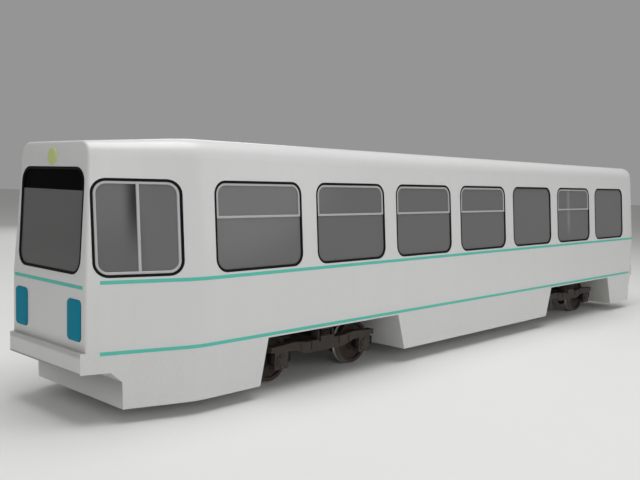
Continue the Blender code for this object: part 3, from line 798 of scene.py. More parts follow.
def stripeInto(bm, stops, z, place):
    half, thick = stripes["wide"] / 2, stripes["thick"]
    profile = [(-half, 0.0002), (-half, thick * 0.7), (-half + 0.0015, thick), (half - 0.0015, thick),
               (half, thick * 0.7), (half, 0.0002)]
    barInto(bm, stops, z, profile, place)


def stations(start, end):
    bend, soft = car["bendS"], car["bendRound"]
    inner = [bend + soft * (k / 4 - 1) for k in range(9)]
    return [start] + [s for s in inner if start < s < end] + [end]


def makeStripes():
    tailS = car["length"] - 0.002
    bm = bmesh.new()
    stripeInto(bm, stations(stripes["startS"], tailS), stripes["upperZ"], onSide(1))
    stripeInto(bm, stations(stripes["startS"], stripes["lowerEndS"]), stripes["lowerZ"], onSide(1))
    addPiece("left stripes", bm, finishes["stripe"])
    bm = bmesh.new()
    stripeInto(bm, stations(stripes["startS"], stripes["lowerEndS"]), stripes["lowerZ"], onSide(-1))
    cuts = [stripes["startS"]]
    for place in windows["doorPlaces"]:
        middle = sum(windowSpan(place)) / 2
        cuts += [middle - doors["half"] - 0.03, middle + doors["half"] + 0.03]
    cuts.append(tailS)
    for start, end in zip(cuts[::2], cuts[1::2]):
        stripeInto(bm, stations(start, end), stripes["upperZ"], onSide(-1))
    addPiece("right stripes", bm, finishes["stripe"])
    bm = bmesh.new()
    stripeInto(bm, list(stripes["frontX"]), stripes["frontZ"], onNose)
    addPiece("front stripe", bm, finishes["stripe"])
    bm = bmesh.new()
    edge = car["halfWidth"] - 0.047
    stripeInto(bm, [-edge, edge], stripes["frontZ"], onTail)
    addPiece("rear stripe", bm, finishes["stripe"])
    print("stripes made")


makeStripes()


# Lamps


lamps = {
    "headZ": 3.126, "headRadius": 0.10, "headProud": 0.019,
    "panelX": (0.505, 0.80), "panelZ": (0.995, 1.475), "panelRadius": 0.055, "panelProud": 0.018,
    "tailX": (0.92, 1.16), "tailZ": (1.20, 1.44),
}


def makeHeadlight():
    radius, proud = lamps["headRadius"], lamps["headProud"]
    tilt = math.atan(car["rake"])
    bm = bmesh.new()
    rim = [(0.0, radius), (-proud + 0.006, radius), (-proud + 0.001, radius - 0.003), (-proud, radius - 0.008),
           (-proud + 0.002, radius - 0.013), (-proud + 0.004, radius - 0.016)]
    lens = [(-proud + 0.004 - 0.005 * math.cos(math.radians(t)), (radius - 0.016) * math.sin(math.radians(t)))
            for t in (90, 75, 60, 45, 30, 15)]
    turnedInto(bm, rim + lens[1:] + [(-proud - 0.001, 0)], (0, 0, 0), "Y", 48)
    place = Vector(onNose(0, lamps["headZ"], 0.0))
    bmesh.ops.rotate(bm, cent=(0, 0, 0), matrix=Matrix.Rotation(tilt, 3, "X").inverted(), verts=bm.verts)
    bmesh.ops.translate(bm, vec=place, verts=bm.verts)
    piece = addPiece("headlight lens", bm, finishes["headlight"], "car", smooth=50)
    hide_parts("headlight")


def lensPlate(name, span, place, material, node):
    proud = lamps["panelProud"]
    bm = bmesh.new()
    soft = 0.010
    profile = [(0.0, 0.0003), (0.0, proud - soft), (-soft * 0.3, proud - soft * 0.3), (-soft, proud),
               (-soft - 0.012, proud + 0.0005)]
    ringInto(bm, (*span, lamps["panelRadius"], lamps["panelRadius"]), profile, place, capFirst=True, capLast=True)
    piece = addPiece(name, bm, material, "car", smooth=30)
    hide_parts(node)
    bm = bmesh.new()
    gasket = [(0.004, 0.0002), (0.004, 0.0020), (0.0015, 0.0034), (-0.002, 0.0030), (-0.002, 0.0002)]
    ringInto(bm, (*span, lamps["panelRadius"], lamps["panelRadius"]), gasket, place)
    addPiece(f"{name} gasket", bm, finishes["seal"], "car")


def makeLamps():
    makeHeadlight()
    x0, x1 = lamps["panelX"]
    lensPlate("left lamp lens", (x0, x1, *lamps["panelZ"]), onNose, finishes["lamp"], "left_lamp_panel")
    lensPlate("right lamp lens", (-x1, -x0, *lamps["panelZ"]), onNose, finishes["lamp"],
              "right_lamp_panel")
    x0, x1 = lamps["tailX"]
    lensPlate("left tail lens", (x0, x1, *lamps["tailZ"]), onTail, finishes["tail"], "left_tail_lamp")
    lensPlate("right tail lens", (-x1, -x0, *lamps["tailZ"]), onTail, finishes["tail"], "right_tail_lamp")
    print("lamps made")


makeLamps()


# Doors of the right side


doorTrim = {"rubber": 0.022, "nosing": 0.030, "edging": 0.024, "gutterZ": 3.00, "gutterReach": 0.16, "sill": 0.004}


def doorMiddle(place):
    return sum(windowSpan(place)) / 2


def leafTrim(name, start, end, meetAtEnd):
    # glass rubber and meeting strip of one leaf, which slide with it
    place = onSide(-1, doors["leafDepth"])
    margin = doors["glassMargin"]
    span = (start + margin, end - margin, doors["glassLow"], doors["glassHigh"])
    bm = bmesh.new()
    ringInto(bm, (*span, doors["glassRadius"], doors["glassRadius"]), sealProfile(doorTrim["rubber"], -0.0078), place,
             bends=(car["beltZ"],))
    addPiece(f"{name} glass rubber", bm, finishes["seal"], name)
    bm = bmesh.new()
    wide = doorTrim["nosing"]
    edge = end - 0.001 if meetAtEnd else start + 0.001
    side = -1 if meetAtEnd else 1
    profile = [(0.0, -0.030), (0.0, 0.004), (side * 0.006, 0.009), (side * 0.016, 0.009), (side * 0.020, 0.003),
               (side * wide, 0.0025), (side * wide, 0.0003), (side * 0.0012, 0.0003), (side * 0.0012, -0.030)]
    stops = (doors["leafLow"] + 0.012, car["beltZ"], doors["leafHigh"] - 0.012)
    barInto(bm, stops, edge, profile, place, upright=True)
    addPiece(f"{name} meeting strip", bm, finishes["nosing"], name)


def doorwayTrim(name, middle):
    place = onSide(-1)
    half, low, high = doors["half"], doors["low"], doors["high"]
    bm = bmesh.new()
    wide = doorTrim["edging"]
    profile = [(-0.006, -0.058), (-0.006, 0.0), (0.0, 0.004), (wide - 0.004, 0.004), (wide, 0.0003), (0.0, 0.0003),
               (0.0, -0.058)]
    ringInto(bm, (middle - half, middle + half, low, high, 0.012, 0.012), profile, place, bends=(car["beltZ"],))
    addPiece(f"{name} edging", bm, finishes["nosing"], "car")
    bm = bmesh.new()  # rain gutter, a bent strip
    lip = [(-0.002, 0.0003), (-0.002, 0.014), (0.010, 0.018), (0.012, 0.0165), (0.001, 0.0125), (0.001, 0.0003)]
    reach = half + doorTrim["gutterReach"]
    stops = [middle - reach, middle - reach + 0.05, middle + reach - 0.05, middle + reach]
    barInto(bm, stops, doorTrim["gutterZ"], lip, place)
    addPiece(f"{name} gutter", bm, finishes["body"], "car")
    bm = bmesh.new()  # ribbed metal plate on the sill, and one on the floor behind the leaves
    x = sideX(middle, low)
    y = car["noseY"] + middle
    top = low + doorTrim["sill"]
    blockInto(bm, (-x + 0.002, y - half + 0.008, low + 0.0003), (-x + 0.058, y + half - 0.008, top), 0.001)
    inner = x - doors["leafDepth"] - 0.045
    base = car["floorZ"] + 0.0004
    blockInto(bm, (-inner, y - half, base), (-inner + 0.26, y + half, base + 0.003), 0.001)
    for rib in range(8):
        at = -inner + 0.02 + rib * 0.031
        blockInto(bm, (at, y - half + 0.02, base + 0.003), (at + 0.012, y + half - 0.02, base + 0.0055), 0.001)
    for rib in range(2):
        at = -x + 0.012 + rib * 0.022
        blockInto(bm, (at, y - half + 0.03, top - 0.0005), (at + 0.010, y + half - 0.03, top + 0.002), 0.0008)
    addPiece(f"{name} threshold", bm, finishes["tread"], "car")


def makeDoorTrim():
    for name, place in zip(("front", "rear"), windows["doorPlaces"]):
        middle = doorMiddle(place)
        doorwayTrim(f"{name} doorway", middle)
        leafTrim(f"{name}_leaf_a", middle - doors["reach"], middle - 0.003, True)
        leafTrim(f"{name}_leaf_b", middle + 0.003, middle + doors["reach"], False)
    print("door trim made")


makeDoorTrim()


# Roof


roofing = {"swages": (0.34, 0.54, 0.74), "wide": 0.034, "rise": 0.007, "from": 1.62, "to": 14.15,
           "joints": (2.9, 4.9, 6.9, 9.7, 11.6, 13.4), "jointWide": 0.045}


def makeRoof():
    base = 3.385
    half, rise = roofing["wide"] / 2, roofing["rise"]
    bm = bmesh.new()  # pressed swages along the flat of the roof
    y0, y1 = car["noseY"] + roofing["from"], car["noseY"] + roofing["to"]
    for x in [sign * x for x in roofing["swages"] for sign in (-1, 1)]:
        sections = ((y0, 0.12), (y0 + 0.05, 1.0), (y1 - 0.05, 1.0), (y1, 0.12))
        loops = []
        for y, share in sections:
            crest = base + rise * share
            loops.append([bm.verts.new(spot) for spot in (
                (x - half, y, base + 0.0003), (x - half * 0.6, y, crest * 0.8 + base * 0.2), (x - half * 0.25, y, crest),
                (x + half * 0.25, y, crest), (x + half * 0.6, y, crest * 0.8 + base * 0.2),
                (x + half, y, base + 0.0003))])
        for one, two in zip(loops, loops[1:]):
            for i in range(6):
                j = (i + 1) % 6
                bm.faces.new((one[i], one[j], two[j], two[i]))
        bm.faces.new(loops[0])
        bm.faces.new(loops[-1])
    addPiece("roof swages", bm, finishes["body"], "car")
    bm = bmesh.new()  # welded straps over the joints between roof sheets
    wide = roofing["jointWide"]
    for s in roofing["joints"]:
        y = car["noseY"] + s
        blockInto(bm, (-0.93, y - wide / 2, base + 0.0003), (0.93, y + wide / 2, base + 0.0028), 0.001)
    addPiece("roof straps", bm, finishes["body"], "car")
    print("roof made")


makeRoof()


# Seats: one pad is filled out by cloth simulation and set in every place


seats = {
    # side: first station, count, aisle edge and wall edge
    "rows": {"left": (1.75, 13, 0.44, 1.22), "right": (5.40, 5, -0.44, -1.15)},
    "pitch": 0.94,
    "pad": {"cells": 16, "layers": 3, "pressure": 4.0, "cap": 0.016},
    "cushion": {"length": 0.40, "thick": 0.066, "from": 0.015, "z": 0.402},
    "back": {"length": 0.45, "thick": 0.050, "lean": 9.1, "s": 0.425, "z": 0.675},
    "welt": 0.0042,
}


def plainPad(width, length, thick):
    # a pad of unit cells with rounded corners, smaller at the seams than in the middle
    pad = seats["pad"]
    cells, layers = pad["cells"], pad["layers"]
    bm = bmesh.new()
    spots = {}

    def spot(i, j, k):
        key = (i, j, k)
        if key not in spots:
            u, v, w = 2 * i / cells - 1, 2 * j / cells - 1, 2 * k / layers - 1
            pull = 1 - 0.10 * (abs(u) ** 6) * (abs(v) ** 6)
            waist = 1 - 0.02 * (1 - w * w)
            crown = 0.72 + 0.28 * (1 - abs(u) ** 4) * (1 - abs(v) ** 4)
            x = u * width / 2 * pull * waist * (1 - 0.012 * (1 - v * v))
            y = v * length / 2 * pull * waist * (1 - 0.012 * (1 - u * u))
            spots[key] = bm.verts.new((x, y, w * thick / 2 * (crown if k else 1.0)))
        return spots[key]

    for i in range(cells):
        for j in range(cells):
            for k in (0, layers):
                bm.faces.new((spot(i, j, k), spot(i + 1, j, k), spot(i + 1, j + 1, k), spot(i, j + 1, k)))
    for k in range(layers):
        for i in range(cells):
            for j in (0, cells):
                bm.faces.new((spot(i, j, k), spot(i + 1, j, k), spot(i + 1, j, k + 1), spot(i, j, k + 1)))
                bm.faces.new((spot(j, i, k), spot(j, i + 1, k), spot(j, i + 1, k + 1), spot(j, i, k + 1)))
    bmesh.ops.recalc_face_normals(bm, faces=bm.faces)
    return bm


def filledPad(width, length, thick):
    # the plain pad, blown up a little as stuffed fabric and held flat where it rests on its shell
    scene = bpy.context.scene
    data = bpy.data.meshes.new("pad being filled")
    bm = plainPad(width, length, thick)
    bm.to_mesh(data)
    bm.free()
    pad = bpy.data.objects.new("pad being filled", data)
    scene.collection.objects.link(pad)
    held = pad.vertex_groups.new(name="held")
    top = thick / 2 * 0.70
    rest = [v.co.copy() for v in data.vertices]
    held.add([v.index for v in data.vertices if v.co.z < -thick / 2 * 0.9], 1.0, "REPLACE")
    seam = [v.index for v in data.vertices if v.co.z > top * 0.98 and (
        abs(v.co.x) > width / 2 * 0.955 or abs(v.co.y) > length / 2 * 0.955)]
    held.add(seam, 0.9, "REPLACE")
    cloth = pad.modifiers.new("fabric", "CLOTH")
    cloth.settings.quality = 5
    cloth.settings.mass = 0.3
    cloth.settings.use_pressure = True
    cloth.settings.uniform_pressure_force = seats["pad"]["pressure"]
    cloth.settings.effector_weights.gravity = 0
    cloth.settings.vertex_group_mass = "held"
    cloth.settings.bending_stiffness = 1.5
    cloth.point_cache.frame_end = 20
    for moment in range(1, 21):
        scene.frame_set(moment)
    settled = pad.evaluated_get(bpy.context.evaluated_depsgraph_get()).to_mesh()
    cap = seats["pad"]["cap"]
    for vert, start, end in zip(data.vertices, rest, [v.co.copy() for v in settled.vertices]):
        move = end - start
        vert.co = start + move * min(1.0, cap / max(move.length, 1e-6))
    pad.to_mesh_clear()
    bpy.data.objects.remove(pad, do_unlink=True)
    scene.frame_set(1)
    return data


def sewnPad(data, width, length, thick, channels):
    # sewn channels pulled into the filled pad, and a welt along its seam
    bm = bmesh.new()
    bm.from_mesh(data)
    for vert in bm.verts:
        if vert.co.z > 0:
            for share in channels:
                away = abs(vert.co.y / length - share) * length
                inside = max(0.0, 1 - (2 * vert.co.x / width) ** 8)
                vert.co.z -= 0.011 * inside * math.exp(-(away / 0.012) ** 2)
    edge = [v for v in bm.verts if v.co.z > thick * 0.2 and (
        abs(v.co.x) > width / 2 * 0.95 or abs(v.co.y) > length / 2 * 0.95)]
    edge.sort(key=lambda v: math.atan2(v.co.y, v.co.x))
    loop = [v.co.copy() for v in edge if v.co.z > thick * 0.28]
    count = len(loop)
    radius = seats["welt"]
    rings = []
    for i, point in enumerate(loop):
        ahead = (loop[(i + 1) % count] - loop[i - 1]).normalized()
        out = Vector((ahead.y, -ahead.x, 0)).normalized()
        rings.append([bm.verts.new(point + radius * (out * math.cos(turn) + Vector((0, 0, math.sin(turn)))))
                      for turn in (k * math.pi / 3 for k in range(6))])
    for one, two in zip(rings, rings[1:] + rings[:1]):
        for k in range(6):
            n = (k + 1) % 6
            bm.faces.new((one[k], one[n], two[n], two[k]))
    return bm


def setPads(bm, pad, places):
    # copies of one pad, each by its own matrix
    made = bpy.data.meshes.new("sewn pad")
    pad.to_mesh(made)
    for place in places:
        before = len(bm.verts)
        bm.from_mesh(made)
        bm.verts.ensure_lookup_table()
        bmesh.ops.transform(bm, matrix=place, verts=bm.verts[before:])


def padMatrix(x, s, z, lean=0.0):
    # lean 0 lies flat, 90 stands up facing the nose
    turn = Matrix.Rotation(math.radians(-lean), 4, "X")
    return Matrix.Translation((x, car["noseY"] + s, z)) @ turn


def shellInto(bm, x0, x1, start, base):
    # moulded shell under and behind two pads, as one bent sheet with turned edges
    y = car["noseY"] + start
    line = [(0.0, 0.352), (0.004, 0.364), (0.36, 0.352), (0.425, 0.37), (0.452, 0.43), (0.511, 0.905), (0.506, 0.917),
            (0.497, 0.912), (0.432, 0.42), (0.410, 0.378), (0.36, 0.366)]
    # outer face, then back along the inner face
    outer = [(0.0, 0.345), (0.36, 0.335), (0.432, 0.352), (0.462, 0.42), (0.520, 0.905)]
    inner = [(0.503, 0.912), (0.446, 0.43), (0.420, 0.372), (0.36, 0.353), (0.0, 0.363)]
    loops = []
    stops = (x0, x0 + 0.006, x1 - 0.006, x1)
    for index, x in enumerate(stops):
        slim = 0.35 if index in (0, 3) else 0.0
        loop = []
        for (s0, z0), (s1, z1) in zip(outer, inner[::-1]):
            loop.append((x, y + s0 + (s1 - s0) * slim, base + z0 + (z1 - z0) * slim))
        for (s0, z0), (s1, z1) in zip(inner, outer[::-1]):
            loop.append((x, y + s0 + (s1 - s0) * slim, base + z0 + (z1 - z0) * slim))
        loops.append([bm.verts.new(spot) for spot in loop])
    for one, two in zip(loops, loops[1:]):
        for i in range(len(one)):
            j = (i + 1) % len(one)
            bm.faces.new((one[i], one[j], two[j], two[i]))
    bm.faces.new(loops[0])
    bm.faces.new(loops[-1])


def makeSeatRow(side, pads):
    first, count, aisle, wall = seats["rows"][side]
    base = car["floorZ"] + 0.0003
    low, high = sorted((aisle, wall))
    middles = [low + (high - low) * share for share in (0.25, 0.75)]
    starts = [first + seats["pitch"] * number for number in range(count)]
    cushion, back = seats["cushion"], seats["back"]
    flat = [padMatrix(x, s + cushion["from"] + cushion["length"] / 2, base + cushion["z"], 0.0)
            for s in starts for x in middles]
    bm = bmesh.new()
    setPads(bm, pads["cushion"], flat)
    piece = addPiece(f"{side} seat cushions", bm, finishes["fabric"], "car", smooth=60)
    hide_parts(f"{side}_seats")
    upright = [padMatrix(x, s + back["s"], base + back["z"], -(90 - back["lean"])) for s in starts for x in middles]
    bm = bmesh.new()
    setPads(bm, pads["back"], upright)
    piece = addPiece(f"{side} seat backs", bm, finishes["fabric"], "car", smooth=60)
    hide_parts(f"{side}_seats")
    bm = bmesh.new()
    for start in starts:
        shellInto(bm, low + 0.004, (low + high) / 2 - 0.004, start, base)
        shellInto(bm, (low + high) / 2 + 0.004, high - 0.004, start, base)
    shells = addPiece(f"{side} seat shells", bm, finishes["shell"], "car")
    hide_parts(f"{side}_seats")
    bm = bmesh.new()  # plinth rails on the floor, a braced leg under each pair and a handle on its aisle corner
    y0, y1 = car["noseY"] + starts[0], car["noseY"] + starts[-1] + 0.5
    for x in (low + 0.10, high - 0.10):
        blockInto(bm, (x - 0.022, y0, base), (x + 0.022, y1, base + 0.050), 0.004)
    for start in starts:
        y = car["noseY"] + start
        for x in (low + 0.10, high - 0.10):
            tubeInto(bm, [(x, y + 0.22, base + 0.045), (x, y + 0.22, base + 0.30), (x, y + 0.20, base + 0.345)], 0.017)
            tubeInto(bm, [(x, y + 0.40, base + 0.045), (x, y + 0.23, base + 0.26)], 0.011, 6)
        tubeInto(bm, [(low + 0.05, y + 0.21, base + 0.33), (high - 0.05, y + 0.21, base + 0.33)], 0.014)
        inward = 1 if aisle == low else -1
        x = aisle + inward * 0.012
        tubeInto(bm, [(x, y + 0.500, base + 0.78), (x, y + 0.512, base + 0.86), (x, y + 0.505, base + 0.905),
                      (x + inward * 0.04, y + 0.502, base + 0.916), (x + inward * 0.12, y + 0.502, base + 0.916),
                      (x + inward * 0.16, y + 0.504, base + 0.90), (x + inward * 0.165, y + 0.508, base + 0.84)],
                 0.0095, 6)
    addPiece(f"{side} seat legs", bm, finishes["rail"], "car")


def makeSeats():
    first, count, aisle, wall = seats["rows"]["right"]
    width = abs(wall - aisle) / 2 - 0.014
    pads = {}
    for name, channels in (("cushion", (-0.17, 0.16)), ("back", (-0.20, 0.10))):
        shape = seats[name]
        data = filledPad(width, shape["length"], shape["thick"])
        pads[name] = sewnPad(data, width, shape["length"], shape["thick"], channels)
    for side in ("left", "right"):
        makeSeatRow(side, pads)
    print("seats made")


makeSeats()


# Driver's place


cab = {
    "seatX": (0.10, 0.56), "cushionS": (0.83, 1.235), "cushionZ": 1.375, "backZ": 1.725, "deskHalf": 0.78,
    "deskFront": (0.72, 1.62), "deskBack": (0.30, 1.70),
}


def onDesk(x, share, out):
    # a point over the sloping top of the desk, share 0 at the driver's edge
    (s0, z0), (s1, z1) = cab["deskFront"], cab["deskBack"]
    slope = Vector((0, s1 - s0, z1 - z0)).normalized()
    normal = Vector((0, -slope.z, slope.y)) * -1
    spot = Vector((x, car["noseY"] + s0, z0)) + slope * share * math.hypot(s1 - s0, z1 - z0) + normal * out
    return spot


def makeDriverSeat():
    x0, x1 = cab["seatX"]
    width, middle = x1 - x0 - 0.03, (x0 + x1) / 2
    s0, s1 = cab["cushionS"]
    bm = bmesh.new()
    cushion = sewnPad(filledPad(width, s1 - s0, 0.10), width, s1 - s0, 0.10, (-0.2, 0.15))
    setPads(bm, cushion, [padMatrix(middle, (s0 + s1) / 2, cab["cushionZ"], -2.0)])
    back = sewnPad(filledPad(width, 0.50, 0.075), width, 0.50, 0.075, (-0.25, 0.0, 0.25))
    setPads(bm, back, [padMatrix(middle, 1.288, cab["backZ"], -84)])
    piece = addPiece("driver seat pads", bm, finishes["fabric"], "car", smooth=60)
    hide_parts("driver_seat")
    y = car["noseY"]
    base = car["floorZ"] + 0.0003
    bm = bmesh.new()
    blockInto(bm, (x0 + 0.01, y + 0.84, 1.295), (x1 - 0.01, y + 1.24, 1.322), 0.010)
    tilt = Matrix.Rotation(math.radians(-5), 3, "X")
    blockInto(bm, (x0 + 0.02, y + 1.318, 1.42), (x1 - 0.02, y + 1.338, 1.96), 0.009, turn=tilt)
    blockInto(bm, (middle - 0.05, y + 1.20, 1.30), (middle + 0.05, y + 1.335, 1.335), 0.008)
    blockInto(bm, (middle - 0.05, y + 1.305, 1.30), (middle + 0.05, y + 1.335, 1.50), 0.008)
    addPiece("driver seat shell", bm, finishes["shell"], "car")
    bm = bmesh.new()
    column = [(0.0, 0.0), (0.0, 0.115), (0.014, 0.115), (0.020, 0.060), (0.030, 0.052)]
    for fold in range(6):  # rubber bellows round the post
        column += [(0.05 + fold * 0.045, 0.074), (0.0725 + fold * 0.045, 0.058)]
    column += [(0.345, 0.05), (0.36, 0.09), (0.394, 0.09), (0.394, 0.0)]
    turnedInto(bm, column, (middle, y + 1.07, base), "Z", 28)
    post = addPiece("driver seat post", bm, finishes["nosing"], "car")
    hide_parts("driver_seat")


def makeDesk():
    bm = bmesh.new()
    for x in (-0.28, 0.04, 0.36):  # blank screens in the desk top
        corners = [onDesk(x + dx, share, out) for out in (0.0004, 0.010)
                   for dx, share in ((-0.14, 0.42), (0.14, 0.42), (0.14, 0.90), (-0.14, 0.90))]
        verts = [bm.verts.new(c) for c in corners]
        for face in ((0, 1, 2, 3), (4, 5, 6, 7), (0, 1, 5, 4), (1, 2, 6, 5), (2, 3, 7, 6), (3, 0, 4, 7)):
            bm.faces.new([verts[i] for i in face])
    bmesh.ops.bevel(bm, geom=list(bm.edges), offset=0.003, segments=2, affect="EDGES", profile=0.7)
    addPiece("desk screens", bm, finishes["display"], "car")
    bm = bmesh.new()
    for row in range(2):
        for number in range(7):
            spot = onDesk(-0.62 + number * 0.035, 0.45 + row * 0.25, 0.0)
            turnedInto(bm, [(0.0, 0.011), (0.008, 0.011), (0.011, 0.008), (0.011, 0.0)], spot, "Z", 12)
    for number in range(8):
        spot = onDesk(-0.10 + number * 0.04, 0.16, 0.0)
        turnedInto(bm, [(0.0, 0.011), (0.008, 0.011), (0.011, 0.008), (0.011, 0.0)], spot, "Z", 12)
    spot = onDesk(0.62, 0.45, 0.0)  # power and brake lever on a turned boss
    turnedInto(bm, [(-0.002, 0.045), (0.018, 0.040), (0.026, 0.020), (0.026, 0.0)], spot, "Z", 24)
    tubeInto(bm, [spot + Vector((0, 0, 0.015)), spot + Vector((0, 0.015, 0.10))], 0.009, 10)
    turnedInto(bm, [(-0.045, 0.0), (-0.045, 0.012), (-0.03, 0.017), (0.03, 0.017), (0.045, 0.012), (0.045, 0.0)],
               spot + Vector((0, 0.016, 0.108)), "X", 16)
    addPiece("desk controls", bm, finishes["nosing"], "car")


def makeCabin():
    makeDriverSeat()
    makeDesk()
    bm = bmesh.new()  # frame round the passage through the bulkhead
    s = 1.40
    y = car["noseY"] + s
    jamb = [(-0.006, -0.043), (-0.006, 0.003), (0.030, 0.003), (0.030, 0.0004), (0.0, 0.0004), (0.0, -0.0404),
            (0.030, -0.0404), (0.030, -0.043)]
    ringInto(bm, (-0.72, -0.08, 0.945, 2.86, 0.004, 0.004), jamb, lambda a, b, out: (a, y - out, b))
    addPiece("passage frame", bm, finishes["frame"], "car")
    bm = bmesh.new()  # two rows of ceiling lights
    for sign in (-1, 1):
        for number in range(7):
            start = y + 0.55 + number * 1.78
            blockInto(bm, (sign * 0.62 - 0.075, start, 3.285), (sign * 0.62 + 0.075, start + 1.5, 3.3245), 0.012)
    addPiece("ceiling lights", bm, finishes["light"], "car")
    bm = bmesh.new()  # collars where the grab poles meet the floor, and hangers of the rails
    for s in (3.20, 5.06, 7.77, 10.45, 12.35):
        for x in (-0.39, 0.39):
            foot = [(0.0, 0.0), (0.0, 0.038), (0.006, 0.038), (0.010, 0.026), (0.030, 0.022), (0.030, 0.0165)]
            turnedInto(bm, foot, (x, car["noseY"] + s, car["floorZ"] + 0.0005), "Z", 20)
            tubeInto(bm, [(x, car["noseY"] + s, 2.735), (x, car["noseY"] + s, 3.318)], 0.013, 10)
    addPiece("pole collars", bm, finishes["rail"], "car")
    print("cabin made")


makeCabin()


# Bogies


running = {
    "beamX": (0.93, 1.05), "springX": 0.975, "coil": (0.106, 0.0125, 3), "boxHalf": 0.13, "discX": 0.45,
    "bays": ((2.46, 5.23), (10.45, 13.18)),  # stations between the skirts
}


def coilInto(bm, x, y, low, high):
    radius, wire, turns = running["coil"]
    points = []
    steps = 16 * turns
    for k in range(steps + 1):
        turn = 2 * math.pi * k / 16
        points.append((x + radius * math.cos(turn), y + radius * math.sin(turn), low + (high - low) * k / steps))
    tubeInto(bm, points, wire, 8)


def axleboxInto(bm, bolts, x, y, sign):
    # round cover of an axle box with its ring of bolts
    cover = [(0.0, 0.0), (0.0, 0.098), (0.004, 0.100), (0.010, 0.096), (0.012, 0.072), (0.022, 0.068), (0.027, 0.058),
             (0.027, 0.0)]
    turnedInto(bm, [(sign * (along - 0.0005), r) for along, r in cover], (x, y, bogies["axleZ"]), "X", 32)
    for k in range(6):
        turn = math.pi * k / 3 + math.pi / 6
        spot = (x + sign * 0.010, y + 0.084 * math.cos(turn), bogies["axleZ"] + 0.084 * math.sin(turn))
        turnedInto(bolts, [(sign * a, r) for a, r in ((0.0, 0.0), (0.0, 0.0095), (0.007, 0.0095), (0.008, 0.008),
                                                      (0.008, 0.0))], spot, "X", 6)


def makeBogie(body, station):
    y = car["noseY"] + station
    beamIn, beamOut = running["beamX"]
    coils, boxes, bolts, chevrons, calipers, braces = (bmesh.new() for _ in range(6))
    for sign in (-1, 1):
        coilInto(coils, sign * running["springX"], y, 0.642, 0.708)
        for end in (-1, 1):
            at = y + end * bogies["halfBase"]
            axleboxInto(boxes, bolts, sign * beamOut, at, sign)
            for way in (-1, 1):  # layered rubber and steel beside the axle box, under the beam
                for layer in range(4):
                    inner = at + way * (running["boxHalf"] + 0.0005 + layer * 0.015)
                    outer = inner + way * 0.0135
                    low, high = sorted((inner, outer))
                    blockInto(chevrons, (sign * (beamIn + 0.012) if sign > 0 else -beamOut + 0.012, low,
                                         0.315 + layer * 0.012),
                              (sign * (beamOut - 0.012) if sign > 0 else -beamIn - 0.012, high, 0.474), 0.003)
            inner = y + end * 0.165
            disc = y + end * (bogies["halfBase"] - 0.235)
            xs = sorted((sign * (running["discX"] - 0.045), sign * (running["discX"] + 0.045)))
            # arm from the transom, jaws either side of the disc and the brake cylinder over them
            low, high = sorted((inner, disc - end * 0.03))
            blockInto(calipers, (xs[0] + 0.02, low, 0.505), (xs[1] - 0.02, high, 0.555), 0.006)
            low, high = sorted((disc - end * 0.05, disc + end * 0.10))
            for cheek in (-1, 1):
                x = sign * running["discX"] + cheek * 0.034
                blockInto(calipers, (x - 0.011, low, 0.44), (x + 0.011, high, 0.54), 0.005)
            low, high = sorted((disc - end * 0.055, disc - end * 0.012))
            blockInto(calipers, (xs[0], low, 0.43), (xs[1], high, 0.565), 0.008)
            turnedInto(calipers, [(-0.06, 0.0), (-0.06, 0.034), (-0.05, 0.040), (0.05, 0.040), (0.06, 0.034),
                                  (0.06, 0.0)], (sign * running["discX"], disc - end * 0.09, 0.525), "X", 20)
            # gusset where the beam meets the transom
            low, high = sorted((y + end * 0.168, y + end * 0.30))
            blockInto(braces, (min(sign * 0.84, sign * 0.945), low, 0.50),
                      (max(sign * 0.84, sign * 0.945), high, 0.512), 0.003)
            # end plates
            tip = y + end * 1.10
            low, high = sorted((tip - end * 0.014, tip + end * 0.006))
            blockInto(braces, (min(sign * (beamIn - 0.006), sign * (beamOut + 0.006)), low, 0.497),
                      (max(sign * (beamIn - 0.006), sign * (beamOut + 0.006)), high, 0.583), 0.003)
            # flanges welded along the beam where it deepens, and a guide bracket beside the spring
            for share, wide in ((0.30, 0.010), (0.52, 0.010)):
                low, high = sorted((y + end * (share - wide / 2), y + end * (share + wide / 2)))
                blockInto(braces, (min(sign * (beamOut - 0.002), sign * (beamOut + 0.014)), low, 0.455),
                          (max(sign * (beamOut - 0.002), sign * (beamOut + 0.014)), high, 0.566), 0.002)
            low, high = sorted((y + end * 0.142, y + end * 0.170))
            blockInto(braces, (min(sign * 0.90, sign * 1.05), low, 0.585),
                      (max(sign * 0.90, sign * 1.05), high, 0.712), 0.004)
        # retaining plate over the spring seat
        turnedInto(boxes, [(-0.004, 0.0), (-0.004, 0.112), (0.006, 0.112), (0.010, 0.106), (0.010, 0.0)],
                   (sign * running["springX"], y, 0.632), "Z", 28)
    addPiece(f"{body} springs", coils, finishes["spring"], body)
    addPiece(f"{body} axle box covers", boxes, finishes["bogie"], body)
    addPiece(f"{body} cover bolts", bolts, finishes["bolt"], body)
    addPiece(f"{body} rubber springs", chevrons, finishes["nosing"], body)
    addPiece(f"{body} brake calipers", calipers, finishes["bogie"], body)
    addPiece(f"{body} frame plates", braces, finishes["bogie"], body)


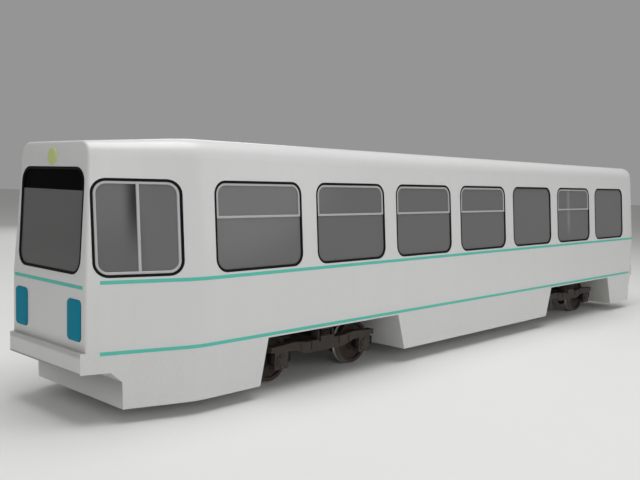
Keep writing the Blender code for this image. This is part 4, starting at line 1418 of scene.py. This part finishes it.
def makeBogies():
    makeBogie("front_bogie", bogies["front"])
    makeBogie("rear_bogie", bogies["rear"])
    bm = bmesh.new()  # pipes clipped under the floor in the bogie bays
    for start, end in running["bays"]:
        y0, y1 = car["noseY"] + start, car["noseY"] + end
        for sign in (-1, 1):
            for x, radius in ((1.17, 0.013), (1.205, 0.009)):
                tubeInto(bm, [(sign * x, y0, 0.794), (sign * x, y1, 0.794)], radius, 10)
            for clip in range(4):
                y = y0 + (y1 - y0) * (clip + 0.5) / 4
                blockInto(bm, (sign * 1.187 - 0.042, y - 0.014, 0.776), (sign * 1.187 + 0.042, y + 0.014, 0.8125), 0.004)
    addPiece("bay pipes", bm, finishes["spring"], "car")
    print("bogies made")


makeBogies()


# Camera, light and floor


view = {"place": (8.7751, -11.7804, 2.9231), "yaw": 43.341, "pitch": 4.4458, "roll": 1.4592, "focal": 774.54,
        "imageWidth": 640}


def makeCamera():
    yaw, pitch, roll = (math.radians(view[k]) for k in ("yaw", "pitch", "roll"))
    ahead = Vector((-math.sin(yaw) * math.cos(pitch), math.cos(yaw) * math.cos(pitch), -math.sin(pitch)))
    right = ahead.cross(Vector((0, 0, 1))).normalized()
    up = right.cross(ahead)
    turnedRight = math.cos(roll) * right + math.sin(roll) * up
    turnedUp = -math.sin(roll) * right + math.cos(roll) * up
    data = bpy.data.cameras.new("camera")
    data.sensor_fit = "HORIZONTAL"
    data.sensor_width = 36.0
    data.lens = view["focal"] * data.sensor_width / view["imageWidth"]
    data.clip_end = 500
    camera = bpy.data.objects.new("camera", data)
    bpy.context.scene.collection.objects.link(camera)
    basis = Matrix((turnedRight, turnedUp, -ahead)).transposed()
    camera.matrix_world = Matrix.Translation(view["place"]) @ basis.to_4x4()
    bpy.context.scene.camera = camera


studio = {
    "world": 0.30,
    # name: place, aim, size, power
    "lights": {
        "key": ((27, -15, 9), (0, -2, 1.5), 16, 1420),
        "key beyond": ((26, 15, 9), (0, 4, 1.5), 14, 720),
        "top": ((3, -2, 25), (0, 0, 2), 22, 4900),
        "front fill": ((-4, -30, 8), (0, -7, 1.5), 12, 310),
        "far fill": ((-25, 13, 12), (0, 0, 1.5), 17, 1300),
    },
}


def makeStudio():
    scene = bpy.context.scene
    scene.view_settings.view_transform = "Standard"
    world = bpy.data.worlds.new("studio")
    world.use_nodes = True
    world.node_tree.nodes["Background"].inputs["Color"].default_value = (1, 1, 1, 1)
    world.node_tree.nodes["Background"].inputs["Strength"].default_value = studio["world"]
    scene.world = world
    for name, (place, aim, size, power) in studio["lights"].items():
        data = bpy.data.lights.new(name, "AREA")
        data.shape = "DISK"
        data.size = size
        data.energy = power
        light = bpy.data.objects.new(name, data)
        light.location = place
        light.rotation_euler = (Vector(aim) - Vector(place)).to_track_quat("-Z", "Y").to_euler()
        scene.collection.objects.link(light)
    bm = bmesh.new()
    bmesh.ops.create_grid(bm, x_segments=8, y_segments=8, size=120)
    data = bpy.data.meshes.new("studio floor")
    bm.to_mesh(data)
    bm.free()
    ground = bpy.data.objects.new("studio floor", data)
    scene.collection.objects.link(ground)
    finish = Finish("studio floor")
    finish.set("Base Color", finish.blend(finish.noise(0.6, 2.0) * 0.1, colour(224, 224, 222), colour(206, 206, 204)))
    finish.set("Roughness", 0.9)
    data.materials.append(finish.material)
    print("studio ready")


makeCamera()
makeStudio()
